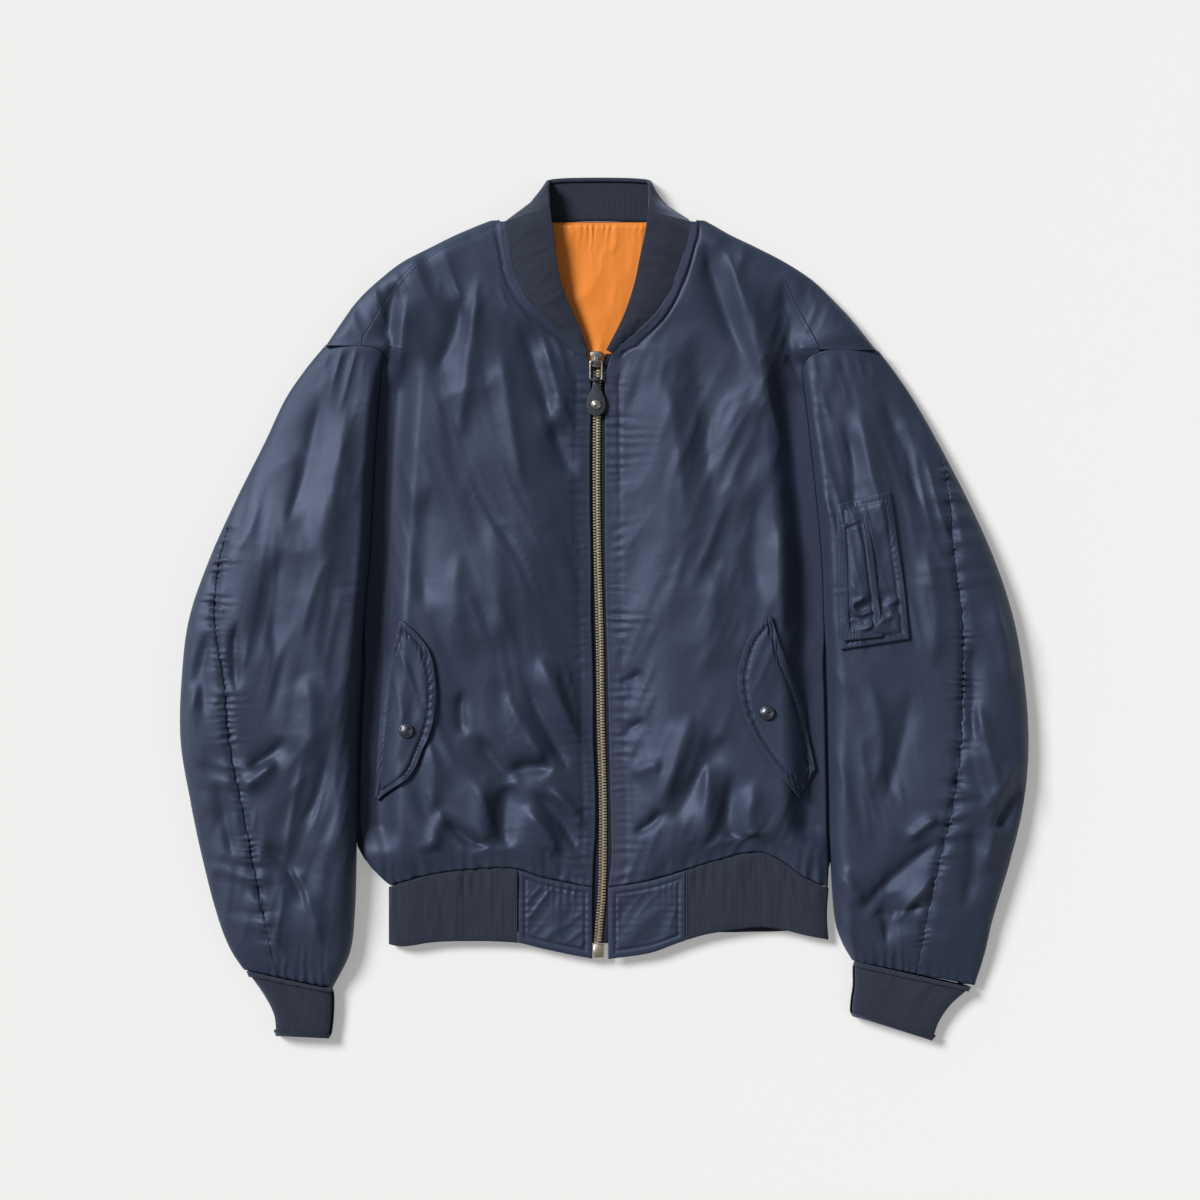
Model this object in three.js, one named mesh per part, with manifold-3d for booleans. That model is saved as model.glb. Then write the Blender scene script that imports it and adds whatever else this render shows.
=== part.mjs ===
// A bomber jacket laid flat on its back, front up, zip closed. Millimetres, +Z up, +Y toward the
// collar, +X toward the wearer's left. The cloth is thin walls that lie on each other.
import * as THREE from 'three';
import { mergeVertices } from 'three/addons/utils/BufferGeometryUtils.js';
import Module from 'manifold-3d';

// Driving sizes
const WALL = 2.5;          // nylon shell with its thin padding
const RIB_WALL = 3;        // knitted rib, two layers
const SEAM_GAP = 0.3;      // between pieces that are sewn edge to edge
const LAY_GAP = 0.3;       // between a piece and what it lies on
const ARMHOLE_GAP = 1.4;   // where the armhole seam turns over the shoulder
const HEM_GAP = 1;         // at the hem seam, which bends between its points
const PATCH_LIFT = 1;      // between a pocket or flap and the panel under it
const NOSE = 10;           // height of the outermost line of a folded edge
const NOSE_REACH = 15;     // how far a folded edge takes to reach the floor under it
const VALLEY = 12;         // height of the armhole seam, which lies in a valley
const VALLEY_REACH = 36;   // from the armhole seam to the full height of the cloth
const EDGE_REACH = 62;     // from a folded edge to the full height of the cloth
const ZIP_TOP = 13;        // height of the front edges beside the zip
const ZIP_REACH = 62;      // from the front edge to the full height of the chest
const ARMPIT = -8;         // y of the underarm, where sleeve and body part
const ARMPIT_REACH = 55;   // length over which the armhole valley turns into two folded edges
const SHOULDER_REACH = 40; // from the folded edge of a shoulder to its full height
const ARMHOLE_BEND = 0.4;  // share of the sleeve's width over which the armhole seam turns down

// Outline of the sleeves, per side: y along the inner and outer edge, x of both edges, x of the
// gathered seam on the upper side (the same as the outer edge where it lies in the fold), crown
const SLEEVE = {
  right: [
    { yIn: 239, xIn: -209, yOut: 250, xOut: -266, xSeam: -266, crown: 22 },
    { yIn: 225, xIn: -212, yOut: 228, xOut: -284, xSeam: -284, crown: 23 },
    { yIn: 200, xIn: -215, yOut: 200, xOut: -303, xSeam: -303, crown: 25 },
    { yIn: 160, xIn: -218, yOut: 160, xOut: -322, xSeam: -322, crown: 29 },
    { yIn: 104, xIn: -221, yOut: 104, xOut: -350, xSeam: -348, crown: 33 },
    { yIn: 46, xIn: -224, yOut: 46, xOut: -376, xSeam: -364, crown: 36 },
    { yIn: -10, xIn: -229, yOut: -10, xOut: -395, xSeam: -368, crown: 37 },
    { yIn: -68, xIn: -232, yOut: -68, xOut: -402, xSeam: -359, crown: 36 },
    { yIn: -124, xIn: -235, yOut: -124, xOut: -403, xSeam: -354, crown: 35 },
    { yIn: -181, xIn: -236, yOut: -181, xOut: -394, xSeam: -343, crown: 34 },
    { yIn: -238, xIn: -236, yOut: -238, xOut: -382, xSeam: -332, crown: 32 },
    { yIn: -295, xIn: -238, yOut: -295, xOut: -367, xSeam: -321, crown: 29 },
    { yIn: -330, xIn: -243, yOut: -325, xOut: -355, xSeam: -315, crown: 24 },
    { yIn: -360, xIn: -258, yOut: -343, xOut: -343, xSeam: -309, crown: 17 },
  ],
  left: [
    { yIn: 229, xIn: 189, yOut: 246, xOut: 261, xSeam: 261, crown: 22 },
    { yIn: 216, xIn: 190, yOut: 222, xOut: 279, xSeam: 279, crown: 23 },
    { yIn: 195, xIn: 193, yOut: 195, xOut: 297, xSeam: 297, crown: 25 },
    { yIn: 160, xIn: 197, yOut: 160, xOut: 317, xSeam: 316, crown: 29 },
    { yIn: 104, xIn: 203, yOut: 104, xOut: 346, xSeam: 327, crown: 34 },
    { yIn: 46, xIn: 208, yOut: 46, xOut: 372, xSeam: 331, crown: 37 },
    { yIn: -10, xIn: 210, yOut: -10, xOut: 390, xSeam: 338, crown: 38 },
    { yIn: -68, xIn: 213, yOut: -68, xOut: 400, xSeam: 339, crown: 37 },
    { yIn: -124, xIn: 214, yOut: -124, xOut: 404, xSeam: 337, crown: 36 },
    { yIn: -181, xIn: 215, yOut: -181, xOut: 400, xSeam: 330, crown: 35 },
    { yIn: -238, xIn: 216, yOut: -238, xOut: 387, xSeam: 317, crown: 33 },
    { yIn: -295, xIn: 220, yOut: -295, xOut: 370, xSeam: 305, crown: 29 },
    { yIn: -318, xIn: 227, yOut: -330, xOut: 362, xSeam: 300, crown: 24 },
    { yIn: -334, xIn: 236, yOut: -358, xOut: 353, xSeam: 297, crown: 17 },
  ],
};

// Outline of the fronts, per side: x of the side, armhole or shoulder seam, x of the front edge or
// neck seam, crown
const FRONT = {
  right: [
    { y: -262, side: -203, inner: -11, crown: 15 },
    { y: -238, side: -226, inner: -10, crown: 20 },
    { y: -210, side: -232.5, inner: -8, crown: 23 },
    { y: -172, side: -233, inner: -8, crown: 24 },
    { y: -124, side: -232, inner: -10, crown: 25 },
    { y: -77, side: -229.5, inner: -10, crown: 25 },
    { y: -39, side: -227.5, inner: -11, crown: 25 },
    { y: -8, side: -226, inner: -12, crown: 25 },
    { y: 46, side: -224, inner: -12, crown: 25 },
    { y: 104, side: -221, inner: -13, crown: 25 },
    { y: 160, side: -218, inner: -13, crown: 24 },
    { y: 198, side: -215, inner: -12, crown: 23 },
    { y: 225, side: -212, inner: -13, crown: 22 },
    { y: 239, side: -209, inner: -15, crown: 22 },
    { y: 250, side: -229, inner: -24, crown: 22 },
    { y: 275, side: -218, inner: -54, crown: 22 },
    { y: 294, side: -206, inner: -72, crown: 22 },
    { y: 313, side: -194, inner: -83, crown: 21 },
    { y: 330, side: -176, inner: -87, crown: 21 },
    { y: 345, side: -151, inner: -90, crown: 20 },
    { y: 355, side: -128, inner: -92, crown: 19 },
    { y: 364, side: -108, inner: -93, crown: 18 },
    { y: 369.5, side: -99, inner: -93.5, crown: 17 },
  ],
  left: [
    { y: -262, side: 213, inner: 4, crown: 15 },
    { y: -238, side: 214, inner: 7, crown: 20 },
    { y: -210, side: 212.5, inner: 7, crown: 23 },
    { y: -172, side: 212, inner: 6, crown: 24 },
    { y: -124, side: 211, inner: 5, crown: 25 },
    { y: -77, side: 210, inner: 4, crown: 25 },
    { y: -39, side: 208.5, inner: 3, crown: 25 },
    { y: -8, side: 209, inner: 2, crown: 25 },
    { y: 46, side: 208, inner: 1, crown: 25 },
    { y: 104, side: 203, inner: 1, crown: 25 },
    { y: 160, side: 197, inner: 1, crown: 24 },
    { y: 195, side: 193, inner: 1, crown: 23 },
    { y: 216, side: 190, inner: 1, crown: 22 },
    { y: 229, side: 189, inner: 3, crown: 22 },
    { y: 246, side: 204, inner: 10, crown: 22 },
    { y: 253, side: 202, inner: 19, crown: 22 },
    { y: 275, side: 190, inner: 44, crown: 22 },
    { y: 294, side: 180, inner: 58, crown: 22 },
    { y: 313, side: 171, inner: 67, crown: 21 },
    { y: 330, side: 154, inner: 73, crown: 21 },
    { y: 345, side: 125, inner: 77, crown: 20 },
    { y: 355, side: 104, inner: 80, crown: 19 },
    { y: 364, side: 95, inner: 81, crown: 18 },
    { y: 369.5, side: 87.5, inner: 81.5, crown: 17 },
  ],
};

// Where the back folds forward over the shoulders, per side: y, x of the folded edge
const WRAP = {
  right: [
    { y: 250, edge: -265 }, { y: 275, edge: -248 }, { y: 294, edge: -234 }, { y: 313, edge: -214 },
    { y: 330, edge: -192 }, { y: 345, edge: -163 }, { y: 355, edge: -143 }, { y: 364, edge: -122 },
    { y: 369.5, edge: -108 },
  ],
  left: [
    { y: 246, edge: 259 }, { y: 275, edge: 236 }, { y: 294, edge: 218 }, { y: 313, edge: 198 },
    { y: 330, edge: 172 }, { y: 345, edge: 143 }, { y: 355, edge: 122 }, { y: 364, edge: 106 },
    { y: 369.5, edge: 96 },
  ],
};

// The main folds pressed into the upper cloth: from, to, half width, rise (a trough is below zero)
const FOLDS = [
  { x0: -118, y0: 322, x1: -137, y1: 160, half: 10, rise: 4 },
  { x0: -134, y0: 300, x1: -160, y1: 222, half: 11, rise: -4 },
  { x0: -78, y0: 275, x1: -50, y1: 180, half: 12, rise: -5 },
  { x0: -50, y0: 180, x1: -26, y1: 122, half: 11, rise: -3.5 },
  { x0: -98, y0: 240, x1: -78, y1: 110, half: 12, rise: 3 },
  { x0: -195, y0: 310, x1: -207, y1: 205, half: 10, rise: -4 },
  { x0: -118, y0: -80, x1: -82, y1: -160, half: 12, rise: 3.5 },
  { x0: -60, y0: -148, x1: -58, y1: -176, half: 11, rise: -6 },
  { x0: -92, y0: -170, x1: -94, y1: -232, half: 11, rise: -4 },
  { x0: -62, y0: -172, x1: -28, y1: -246, half: 11, rise: 4 },
  { x0: -120, y0: -190, x1: -124, y1: -240, half: 12, rise: 3 },
  { x0: 95, y0: 350, x1: 134, y1: 240, half: 11, rise: -4 },
  { x0: 112, y0: 345, x1: 176, y1: 125, half: 11, rise: 4 },
  { x0: 169, y0: 315, x1: 186, y1: 215, half: 10, rise: -5 },
  { x0: 80, y0: 262, x1: 106, y1: 90, half: 18, rise: -4 },
  { x0: 74, y0: -90, x1: 72, y1: -228, half: 12, rise: -4 },
  { x0: 122, y0: -162, x1: 123, y1: -230, half: 11, rise: -4 },
  { x0: 140, y0: -168, x1: 142, y1: -228, half: 10, rise: 3 },
  { x0: 46, y0: -186, x1: 34, y1: -214, half: 10, rise: 3 },
  { x0: 96, y0: 40, x1: 88, y1: -70, half: 20, rise: 3 },
  { x0: -110, y0: 90, x1: -104, y1: -40, half: 20, rise: 3 },
  { x0: -268, y0: 205, x1: -300, y1: 80, half: 12, rise: -3.5 },
  { x0: -262, y0: 120, x1: -285, y1: -30, half: 14, rise: 3 },
  { x0: -308, y0: -143, x1: -341, y1: -172, half: 10, rise: 4 },
  { x0: -322, y0: -220, x1: -284, y1: -285, half: 11, rise: -4 },
  { x0: -298, y0: -240, x1: -268, y1: -330, half: 11, rise: 3 },
  { x0: 262, y0: 205, x1: 300, y1: 90, half: 12, rise: -3.5 },
  { x0: 242, y0: 190, x1: 268, y1: 60, half: 12, rise: 3 },
  { x0: 255, y0: -160, x1: 250, y1: -205, half: 16, rise: -4 },
  { x0: 290, y0: -205, x1: 276, y1: -250, half: 10, rise: 4 },
  { x0: 220, y0: -250, x1: 246, y1: -280, half: 10, rise: 3.5 },
  { x0: 346, y0: -30, x1: 349, y1: -130, half: 9, rise: -5 },
  { x0: 352, y0: -68, x1: 376, y1: -172, half: 9, rise: 4 },
];

// Gathers that run off the sleeves' outer seams and the hem
const GATHER = { pitch: 44, reach: 26, rise: 1.6 };

const smooth = (t) => { const s = Math.min(1, Math.max(0, t)); return s * s * (3 - 2 * s); };
const quarter = (t) => Math.sqrt(Math.max(0, 1 - (1 - Math.min(1, Math.max(0, t))) ** 2));
const mix = (a, b, t) => a + (b - a) * t;
const blunt = (value, power) => Math.sign(value) * Math.abs(value) ** power;

// Reads a table at a value of its key column, smoothly between rows
function read(table, key, at) {
  const rising = table[0][key] < table[table.length - 1][key];
  const rows = rising ? table : [...table].reverse();
  const last = rows.length - 1;
  let i = rows.findIndex((row) => row[key] > at) - 1;
  if (i === -2) i = last - 1;
  if (i < 0) i = 0;
  const [a, b] = [rows[i], rows[i + 1]];
  const [before, after] = [rows[Math.max(0, i - 1)], rows[Math.min(last, i + 2)]];
  const span = b[key] - a[key];
  const t = Math.min(1, Math.max(0, (at - a[key]) / span));
  const out = {};
  for (const name of Object.keys(a)) {
    const slopeA = (b[name] - before[name]) / (b[key] - before[key]) * span;
    const slopeB = (after[name] - a[name]) / (after[key] - a[key]) * span;
    const [t2, t3] = [t * t, t * t * t];
    out[name] = (2 * t3 - 3 * t2 + 1) * a[name] + (t3 - 2 * t2 + t) * slopeA
      + (3 * t2 - 2 * t3) * b[name] + (t3 - t2) * slopeB;
  }
  return out;
}

// Height that the folds add at a place
function foldRise(x, y) {
  let rise = 0;
  for (const fold of FOLDS) {
    const [ax, ay] = [fold.x1 - fold.x0, fold.y1 - fold.y0];
    const length = Math.hypot(ax, ay);
    const along = ((x - fold.x0) * ax + (y - fold.y0) * ay) / length;
    const off = ((x - fold.x0) * ay - (y - fold.y0) * ax) / length;
    const beyond = Math.max(0, -along, along - length);
    rise += fold.rise * Math.exp(-((off / fold.half) ** 2) - (beyond / (1.6 * fold.half)) ** 2);
  }
  return rise;
}

// How far the armhole valley has turned into two folded edges: 0 at the armhole, 1 below it
const parted = (y) => smooth((ARMPIT - y) / ARMPIT_REACH);
// How deep the valley is: none at the shoulder, whole a little below it
const valleyDepth = (y) => smooth((250 - y) / 45);
// y of the armhole seam at the top of the shoulder
const shoulderY = (hand) => SLEEVE[hand][0].yOut + SEAM_GAP;

// x of a front's armhole or side seam; at its top the armhole seam turns outward over the shoulder
function sideX(hand, y) {
  const top = SLEEVE[hand][0];
  const climb = (y - top.yIn) / (top.yOut - top.yIn);
  if (climb >= 1) return read(FRONT[hand], 'y', y).side;
  if (climb <= 0) {
    const armhole = read(SLEEVE[hand], 'yIn', y).xIn;
    return mix(armhole, read(FRONT[hand], 'y', y).side, parted(y));
  }
  const across = ARMHOLE_BEND * (1 - Math.sqrt(1 - climb * climb));
  return top.xIn + across * (top.xOut - top.xIn);
}

// Height of the cloth beside the armhole seam or, below it, beside a folded edge
function innerRise(distance, y) {
  const valley = mix(1, smooth(distance / VALLEY_REACH), valleyDepth(y));
  return mix(valley, quarter(distance / EDGE_REACH), parted(y));
}

// Height of a sleeve's upper cloth, at distances from its inner and outer edges
function sleeveHeight(row, x, y, fromInner, fromOuter) {
  const base = mix(VALLEY, NOSE, parted(y));
  const low = mix(base, NOSE, fromInner / (fromInner + fromOuter));
  const shape = innerRise(fromInner, y) * quarter(fromOuter / EDGE_REACH);
  const room = (row.crown - low) * shape;
  const edge = Math.min(1, fromOuter / 14);
  const fromSeam = x - row.xSeam;
  const inside = Math.abs(row.xSeam - row.xOut) > 6 ? 1 : 0;
  const wave = inside * GATHER.rise * Math.sin((2 * Math.PI * y) / GATHER.pitch)
    * Math.exp(-((fromSeam / GATHER.reach) ** 2));
  const groove = inside * -2.2 * Math.exp(-((fromSeam / 7) ** 2));
  const calm = smooth((y + 345) / 50);
  return low + room + (foldRise(x, y) * Math.min(1, shape * 1.3) + wave + groove) * edge * calm;
}

// Height of a front's upper cloth, and of the back's where it comes over the shoulder
function frontHeight(hand, x, y) {
  const row = read(FRONT[hand], 'y', y);
  const overShoulder = y > shoulderY(hand);
  const fromZip = Math.abs(x - row.inner);
  const base = overShoulder ? NOSE : mix(VALLEY, NOSE, parted(y));
  let shape = innerRise(Math.abs(x - sideX(hand, y)), y);
  if (overShoulder) shape = quarter(Math.abs(x - read(WRAP[hand], 'y', y).edge) / SHOULDER_REACH);
  const dip = (row.crown - ZIP_TOP) * (1 - smooth(fromZip / ZIP_REACH)) * smooth((290 - y) / 60);
  const calm = smooth((y + 268) / 40) * smooth((FRONT_END - y) / 30);
  const room = (row.crown - base - dip) * shape;
  return base + room + foldRise(x, y) * Math.min(1, shape * 1.3) * smooth(fromZip / 30) * calm;
}

const point = (x, y, z) => new THREE.Vector3(x, y, z);

// Points along a stretch of a polyline, closer together toward its ends, each with the direction of
// the whole line there. The stretch runs between two places on the line, less a little at each end.
function along(points, count, from = 0, to = points.length - 1, gap = SEAM_GAP / 2, crowd = 0.55,
  endGap = gap) {
  const reach = [0];
  for (let i = 1; i < points.length; i += 1) {
    reach.push(reach[i - 1] + points[i].distanceTo(points[i - 1]));
  }
  const at = (distance) => {
    let i = 1;
    while (i < points.length - 1 && reach[i] < distance) i += 1;
    const t = (distance - reach[i - 1]) / (reach[i] - reach[i - 1]);
    return points[i - 1].clone().lerp(points[i], t);
  };
  const out = [];
  for (let k = 0; k <= count; k += 1) {
    const share = k / count - (crowd * Math.sin((2 * Math.PI * k) / count)) / (2 * Math.PI);
    const distance = mix(reach[from] + gap, reach[to] - endGap, share);
    const p = at(distance);
    p.run = at(distance + 1.5).sub(at(distance - 1.5));
    out.push(p);
  }
  return out;
}

// A closed wall of cloth from rows of points on its outer face. "facing" is the way the outer face
// looks at the middle of the sheet. A ring's rows close on themselves.
function sheet(rows, wall, facing, { ring = false, floor = 0, square = true, level = () => false } = {}) {
  const [high, wide] = [rows.length, rows[0].length];
  const normals = rows.map((row, i) => row.map((_, j) => {
    const left = ring ? row[(j + wide - 1) % wide] : row[Math.max(0, j - 1)];
    const right = ring ? row[(j + 1) % wide] : row[Math.min(wide - 1, j + 1)];
    const up = rows[Math.min(high - 1, i + 1)][j];
    const down = rows[Math.max(0, i - 1)][j];
    const run = row[j].run ?? right.clone().sub(left);
    const normal = run.clone().cross(up.clone().sub(down));
    if ((square && (i === 0 || i === high - 1)) || level(i)) normal.y = 0;
    return normal.normalize();
  }));
  const middle = normals[Math.floor(high / 2)][Math.floor(wide / 2)];
  const sign = middle.dot(facing) < 0 ? -1 : 1;
  const positions = [];
  for (const depth of [0, -wall * sign]) {
    rows.forEach((row, i) => row.forEach((p, j) => {
      const q = p.clone().addScaledVector(normals[i][j], depth);
      positions.push(q.x, q.y, Math.max(floor, q.z));
    }));
  }
  const under = high * wide;
  const at = (i, j) => i * wide + (j % wide);
  const indices = [];
  const quad = (a, b, c, d) => {
    if (sign > 0) indices.push(a, b, c, a, c, d);
    else indices.push(a, c, b, a, d, c);
  };
  const across = ring ? wide : wide - 1;
  for (let i = 0; i < high - 1; i += 1) {
    for (let j = 0; j < across; j += 1) {
      quad(at(i, j), at(i, j + 1), at(i + 1, j + 1), at(i + 1, j));
      quad(under + at(i, j), under + at(i + 1, j), under + at(i + 1, j + 1), under + at(i, j + 1));
    }
    if (!ring) {
      quad(at(i, 0), at(i + 1, 0), under + at(i + 1, 0), under + at(i, 0));
      const end = wide - 1;
      quad(at(i, end), under + at(i, end), under + at(i + 1, end), at(i + 1, end));
    }
  }
  for (let j = 0; j < across; j += 1) {
    quad(at(0, j), under + at(0, j), under + at(0, j + 1), at(0, j + 1));
    quad(at(high - 1, j), at(high - 1, j + 1), under + at(high - 1, j + 1), under + at(high - 1, j));
  }
  const geometry = new THREE.BufferGeometry();
  geometry.setAttribute('position', new THREE.Float32BufferAttribute(positions, 3));
  geometry.setIndex(indices);
  geometry.computeVertexNormals();
  return geometry;
}

const UP = point(0, 0, 1);
const DOWN = point(0, 0, -1);
const LAY = WALL + LAY_GAP; // height of what lies on the under cloth
const FINE = 48;           // samples of a section before its points are spaced evenly

// Rows of the body between the hem and the armholes' tops
const BODY_ROWS = Array.from({ length: 25 }, (_, k) => mix(-262, 222, k / 24));
// Rows of the back where its shoulders begin to come over
const TURN_ROWS = [245, 246.5, 247.5, 249, 250.4, 251, 251.8];
const FRONT_END = 368;     // y of the last row of a front, beside the collar
const SHOULDER_ROWS = Array.from({ length: 9 }, (_, k) => mix(253, FRONT_END, k / 8));

// The upper cloth's line across a sleeve, from its inner seam to its outer edge
function sleeveOver(row) {
  const line = [];
  const tail = mix(VALLEY, WALL + LAY_GAP, parted(row.yIn));
  const topness = smooth((row.yIn - 190) / 40);
  for (let k = 0; k <= FINE; k += 1) {
    const across = (1 - Math.cos((Math.PI * k) / FINE)) / 2;
    const x = mix(row.xIn, row.xOut, across);
    const y = mix(row.yIn, row.yOut, mix(across, quarter(across / ARMHOLE_BEND), topness));
    const width = Math.abs(row.xOut - row.xIn);
    line.push(point(x, y, sleeveHeight(row, x, y, across * width, (1 - across) * width)));
  }
  const drop = line[0].z - tail;
  if (drop > 0.5) line.unshift(point(row.xIn, row.yIn, tail));
  return line;
}

// The under cloth's line across a sleeve, from its outer edge round the fold and along the floor
function sleeveBelow(row) {
  const line = [];
  const inward = Math.sign(row.xIn - row.xOut);
  for (let k = 1; k <= 10; k += 1) {
    const turn = (Math.PI / 2) * (k / 10);
    const x = row.xOut + inward * NOSE_REACH * (1 - Math.cos(turn));
    line.push(point(x, row.yOut, NOSE * (1 - Math.sin(turn))));
  }
  const topness = smooth((row.yIn - 190) / 40);
  const start = line[line.length - 1].x;
  for (let k = 1; k <= FINE; k += 1) {
    const x = mix(start, row.xIn, k / FINE);
    const across = (x - row.xIn) / (row.xOut - row.xIn);
    line.push(point(x, mix(row.yIn, row.yOut, mix(across, quarter(across / ARMHOLE_BEND), topness)), 0));
  }
  return line;
}

// Rows of a sleeve: at the body's own rows where they lie side by side
function sleeveRows(hand) {
  const table = SLEEVE[hand].map((row) => ({ ...row, at: row.yOut }));
  const [first, last] = [table[0].at, table[table.length - 1].at];
  const places = [first, mix(200, first, 0.75), mix(200, first, 0.4)];
  for (const y of [...BODY_ROWS].reverse()) if (y < 205 && y > -262) places.push(y);
  for (let k = 1; k <= 7; k += 1) places.push(mix(-262, last, k / 7));
  return places.map((at, k) => {
    const inset = k === 0 ? -1.6 : k === places.length - 1 ? SEAM_GAP / 2 : 0;
    const row = read(table, 'at', at);
    return { ...row, yIn: row.yIn + inset, yOut: row.yOut + inset };
  });
}

// The point of a sleeve's upper line where the gathered outer seam runs, as an index
function seamIndex(line, row) {
  let best = line.length - 1;
  if (Math.abs(row.xSeam - row.xOut) < 1) return best;
  for (let i = line.length - 1; i > line.length / 2; i -= 1) {
    if (Math.abs(line[i].x - row.xSeam) < Math.abs(line[best].x - row.xSeam)) best = i;
  }
  return best;
}

// Points from the seam to the first kept place round the fold, where the seam lies in the fold
const FOLD_STEPS = 6;

// Upper and under panel of one sleeve
function sleevePanels(hand) {
  const over = [];
  const below = [];
  for (const row of sleeveRows(hand)) {
    const line = sleeveOver(row);
    const seam = seamIndex(line, row);
    const whole = [...line, ...sleeveBelow(row)];
    const bend = row.yIn > 190 ? ARMHOLE_GAP : SEAM_GAP / 2;
    over.push(along(whole, 11, 0, seam, bend, 0.55, SEAM_GAP / 2));
    const fold = Math.max(line.length - 1, seam + FOLD_STEPS);
    below.push([
      ...along(whole, 3, seam, fold, SEAM_GAP / 2, 0.2, 0),
      ...along(whole, 5, fold, whole.length - 1, 0, 0.2, bend + SEAM_GAP).slice(1),
    ]);
  }
  return { over: sheet(over, WALL, UP, { floor: LAY }), below: sheet(below, WALL, DOWN) };
}

// The lower edge of the fronts, where the rib and the tabs are sewn on, and the rib's own edge
const HEM = {
  right: [
    { x: -206, seam: -265, edge: -319 }, { x: -192, seam: -260, edge: -321 },
    { x: -162, seam: -252, edge: -317 }, { x: -117, seam: -247, edge: -316 },
    { x: -84, seam: -247, edge: -317 }, { x: -58, seam: -255, edge: -323 },
    { x: -30, seam: -261, edge: -329 }, { x: -8, seam: -265, edge: -333 },
  ],
  left: [
    { x: 3, seam: -265, edge: -333 }, { x: 44, seam: -258, edge: -327 },
    { x: 72, seam: -250, edge: -317 }, { x: 100, seam: -241, edge: -309 },
    { x: 143, seam: -231, edge: -303 }, { x: 164, seam: -237, edge: -304 },
    { x: 190, seam: -255, edge: -310 }, { x: 215, seam: -266, edge: -315 },
  ],
};
const BACK_HEM = -264;     // y of the back's lower edge, on the floor
const BACK_HEM_EDGE = -308; // y of the rib's lower edge at the back, behind the front's
const NECK_SEAM = 369.5;   // y of the back neck seam
const TAB = { right: -82, left: 78 };  // x where the rib gives way to the nylon tab
const HEM_BOTTOM = -262;   // first row of the fronts' table

// The line across a front at y, from the front edge or neck seam to its outer seam, and at the
// shoulders on round the fold of the back to the floor. "seam" is where the front ends.
function frontLine(hand, yRow) {
  const row = read(FRONT[hand], 'y', yRow);
  const side = sideX(hand, yRow);
  const line = [];
  for (let k = 0; k <= FINE; k += 1) {
    const x = mix(row.inner, side, Math.sin((Math.PI / 2) * (k / FINE)));
    const shift = read(HEM[hand], 'x', x).seam - HEM_BOTTOM;
    const y = yRow + (shift + HEM_GAP) * (1 - smooth((yRow - HEM_BOTTOM) / 60));
    line.push(point(x, y, frontHeight(hand, x, yRow)));
  }
  const end = line[line.length - 1];
  const tail = mix(VALLEY, LAY, parted(yRow));
  if (end.z - tail > 0.5 && yRow < ARMPIT) line.push(point(end.x, end.y, tail));
  const seam = line.length - 1;
  if (yRow < shoulderY(hand)) return { line, seam };
  const wrap = read(WRAP[hand], 'y', yRow);
  const inward = hand === 'right' ? 1 : -1;
  for (let k = 1; k <= 12; k += 1) {
    const x = mix(side, wrap.edge, Math.sin((Math.PI / 2) * (k / 12)));
    line.push(point(x, yRow, frontHeight(hand, x, yRow)));
  }
  for (let k = 1; k <= 8; k += 1) {
    const turn = (Math.PI / 2) * (k / 8);
    const x = wrap.edge + inward * NOSE_REACH * (1 - Math.cos(turn));
    line.push(point(x, yRow, NOSE * (1 - Math.sin(turn))));
  }
  return { line, seam };
}

function front(hand) {
  const heights = [...BODY_ROWS];
  for (const share of [0.1, 0.5, 0.8, 0.97]) {
    heights.push(mix(Math.max(226, SLEEVE[hand][0].yIn), SLEEVE[hand][0].yOut, share));
  }
  heights.push(...[247.5, 250.4, ...SHOULDER_ROWS].filter((y) => y > shoulderY(hand) + 1));
  const rows = heights.map((y) => {
    const { line, seam } = frontLine(hand, y);
    const bend = y > 190 ? ARMHOLE_GAP : SEAM_GAP / 2;
    return along(line, 12, 0, seam, 0.25, 0.55, bend);
  });
  return sheet(rows, WALL, UP, { floor: LAY });
}

// The back: flat on the floor, and round both shoulders to the shoulder seams
function back() {
  const heights = [BACK_HEM + SEAM_GAP / 2, -250, -236, -208, -150, -90, -40, -8, 60, 130, 190];
  heights.push(212, 222, 229, 235, 241, ...TURN_ROWS, ...SHOULDER_ROWS);
  heights.push(NECK_SEAM - SEAM_GAP / 2);
  const half = (hand, y) => {
    const grown = (y - shoulderY(hand)) / 1.2;
    if (grown <= 0) return [point(sideX(hand, y), y, 0)];
    const { line, seam } = frontLine(hand, y);
    const skip = Math.round((1 - Math.min(1, grown)) * (line.length - 1 - seam));
    return line.slice(seam + skip);
  };
  const rows = heights.map((y) => {
    const line = [...half('right', y), ...half('left', y).reverse()];
    return along(line, 16, 0, line.length - 1, 0.35, 0.8);
  });
  const level = (i) => TURN_ROWS.includes(heights[i]) || heights[i] >= FRONT_END;
  return sheet(rows, WALL, DOWN, { level });
}

// The rib round the hem: over the right front, round both sides, and along the floor at the back
const HEM_RIB = { nose: 7.5, turn: 8, top: 15, low: 13 };

function hemStation(hand, x) {
  const row = read(HEM[hand], 'x', x);
  const side = hand === 'right' ? -205 : 214;
  const rise = quarter(Math.abs(x - side) / 26);
  return {
    seam: point(x, row.seam - SEAM_GAP / 2, HEM_RIB.nose + (HEM_RIB.top - HEM_RIB.nose) * rise),
    edge: point(x, row.edge, HEM_RIB.nose + (HEM_RIB.low - HEM_RIB.nose) * rise),
  };
}

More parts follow.
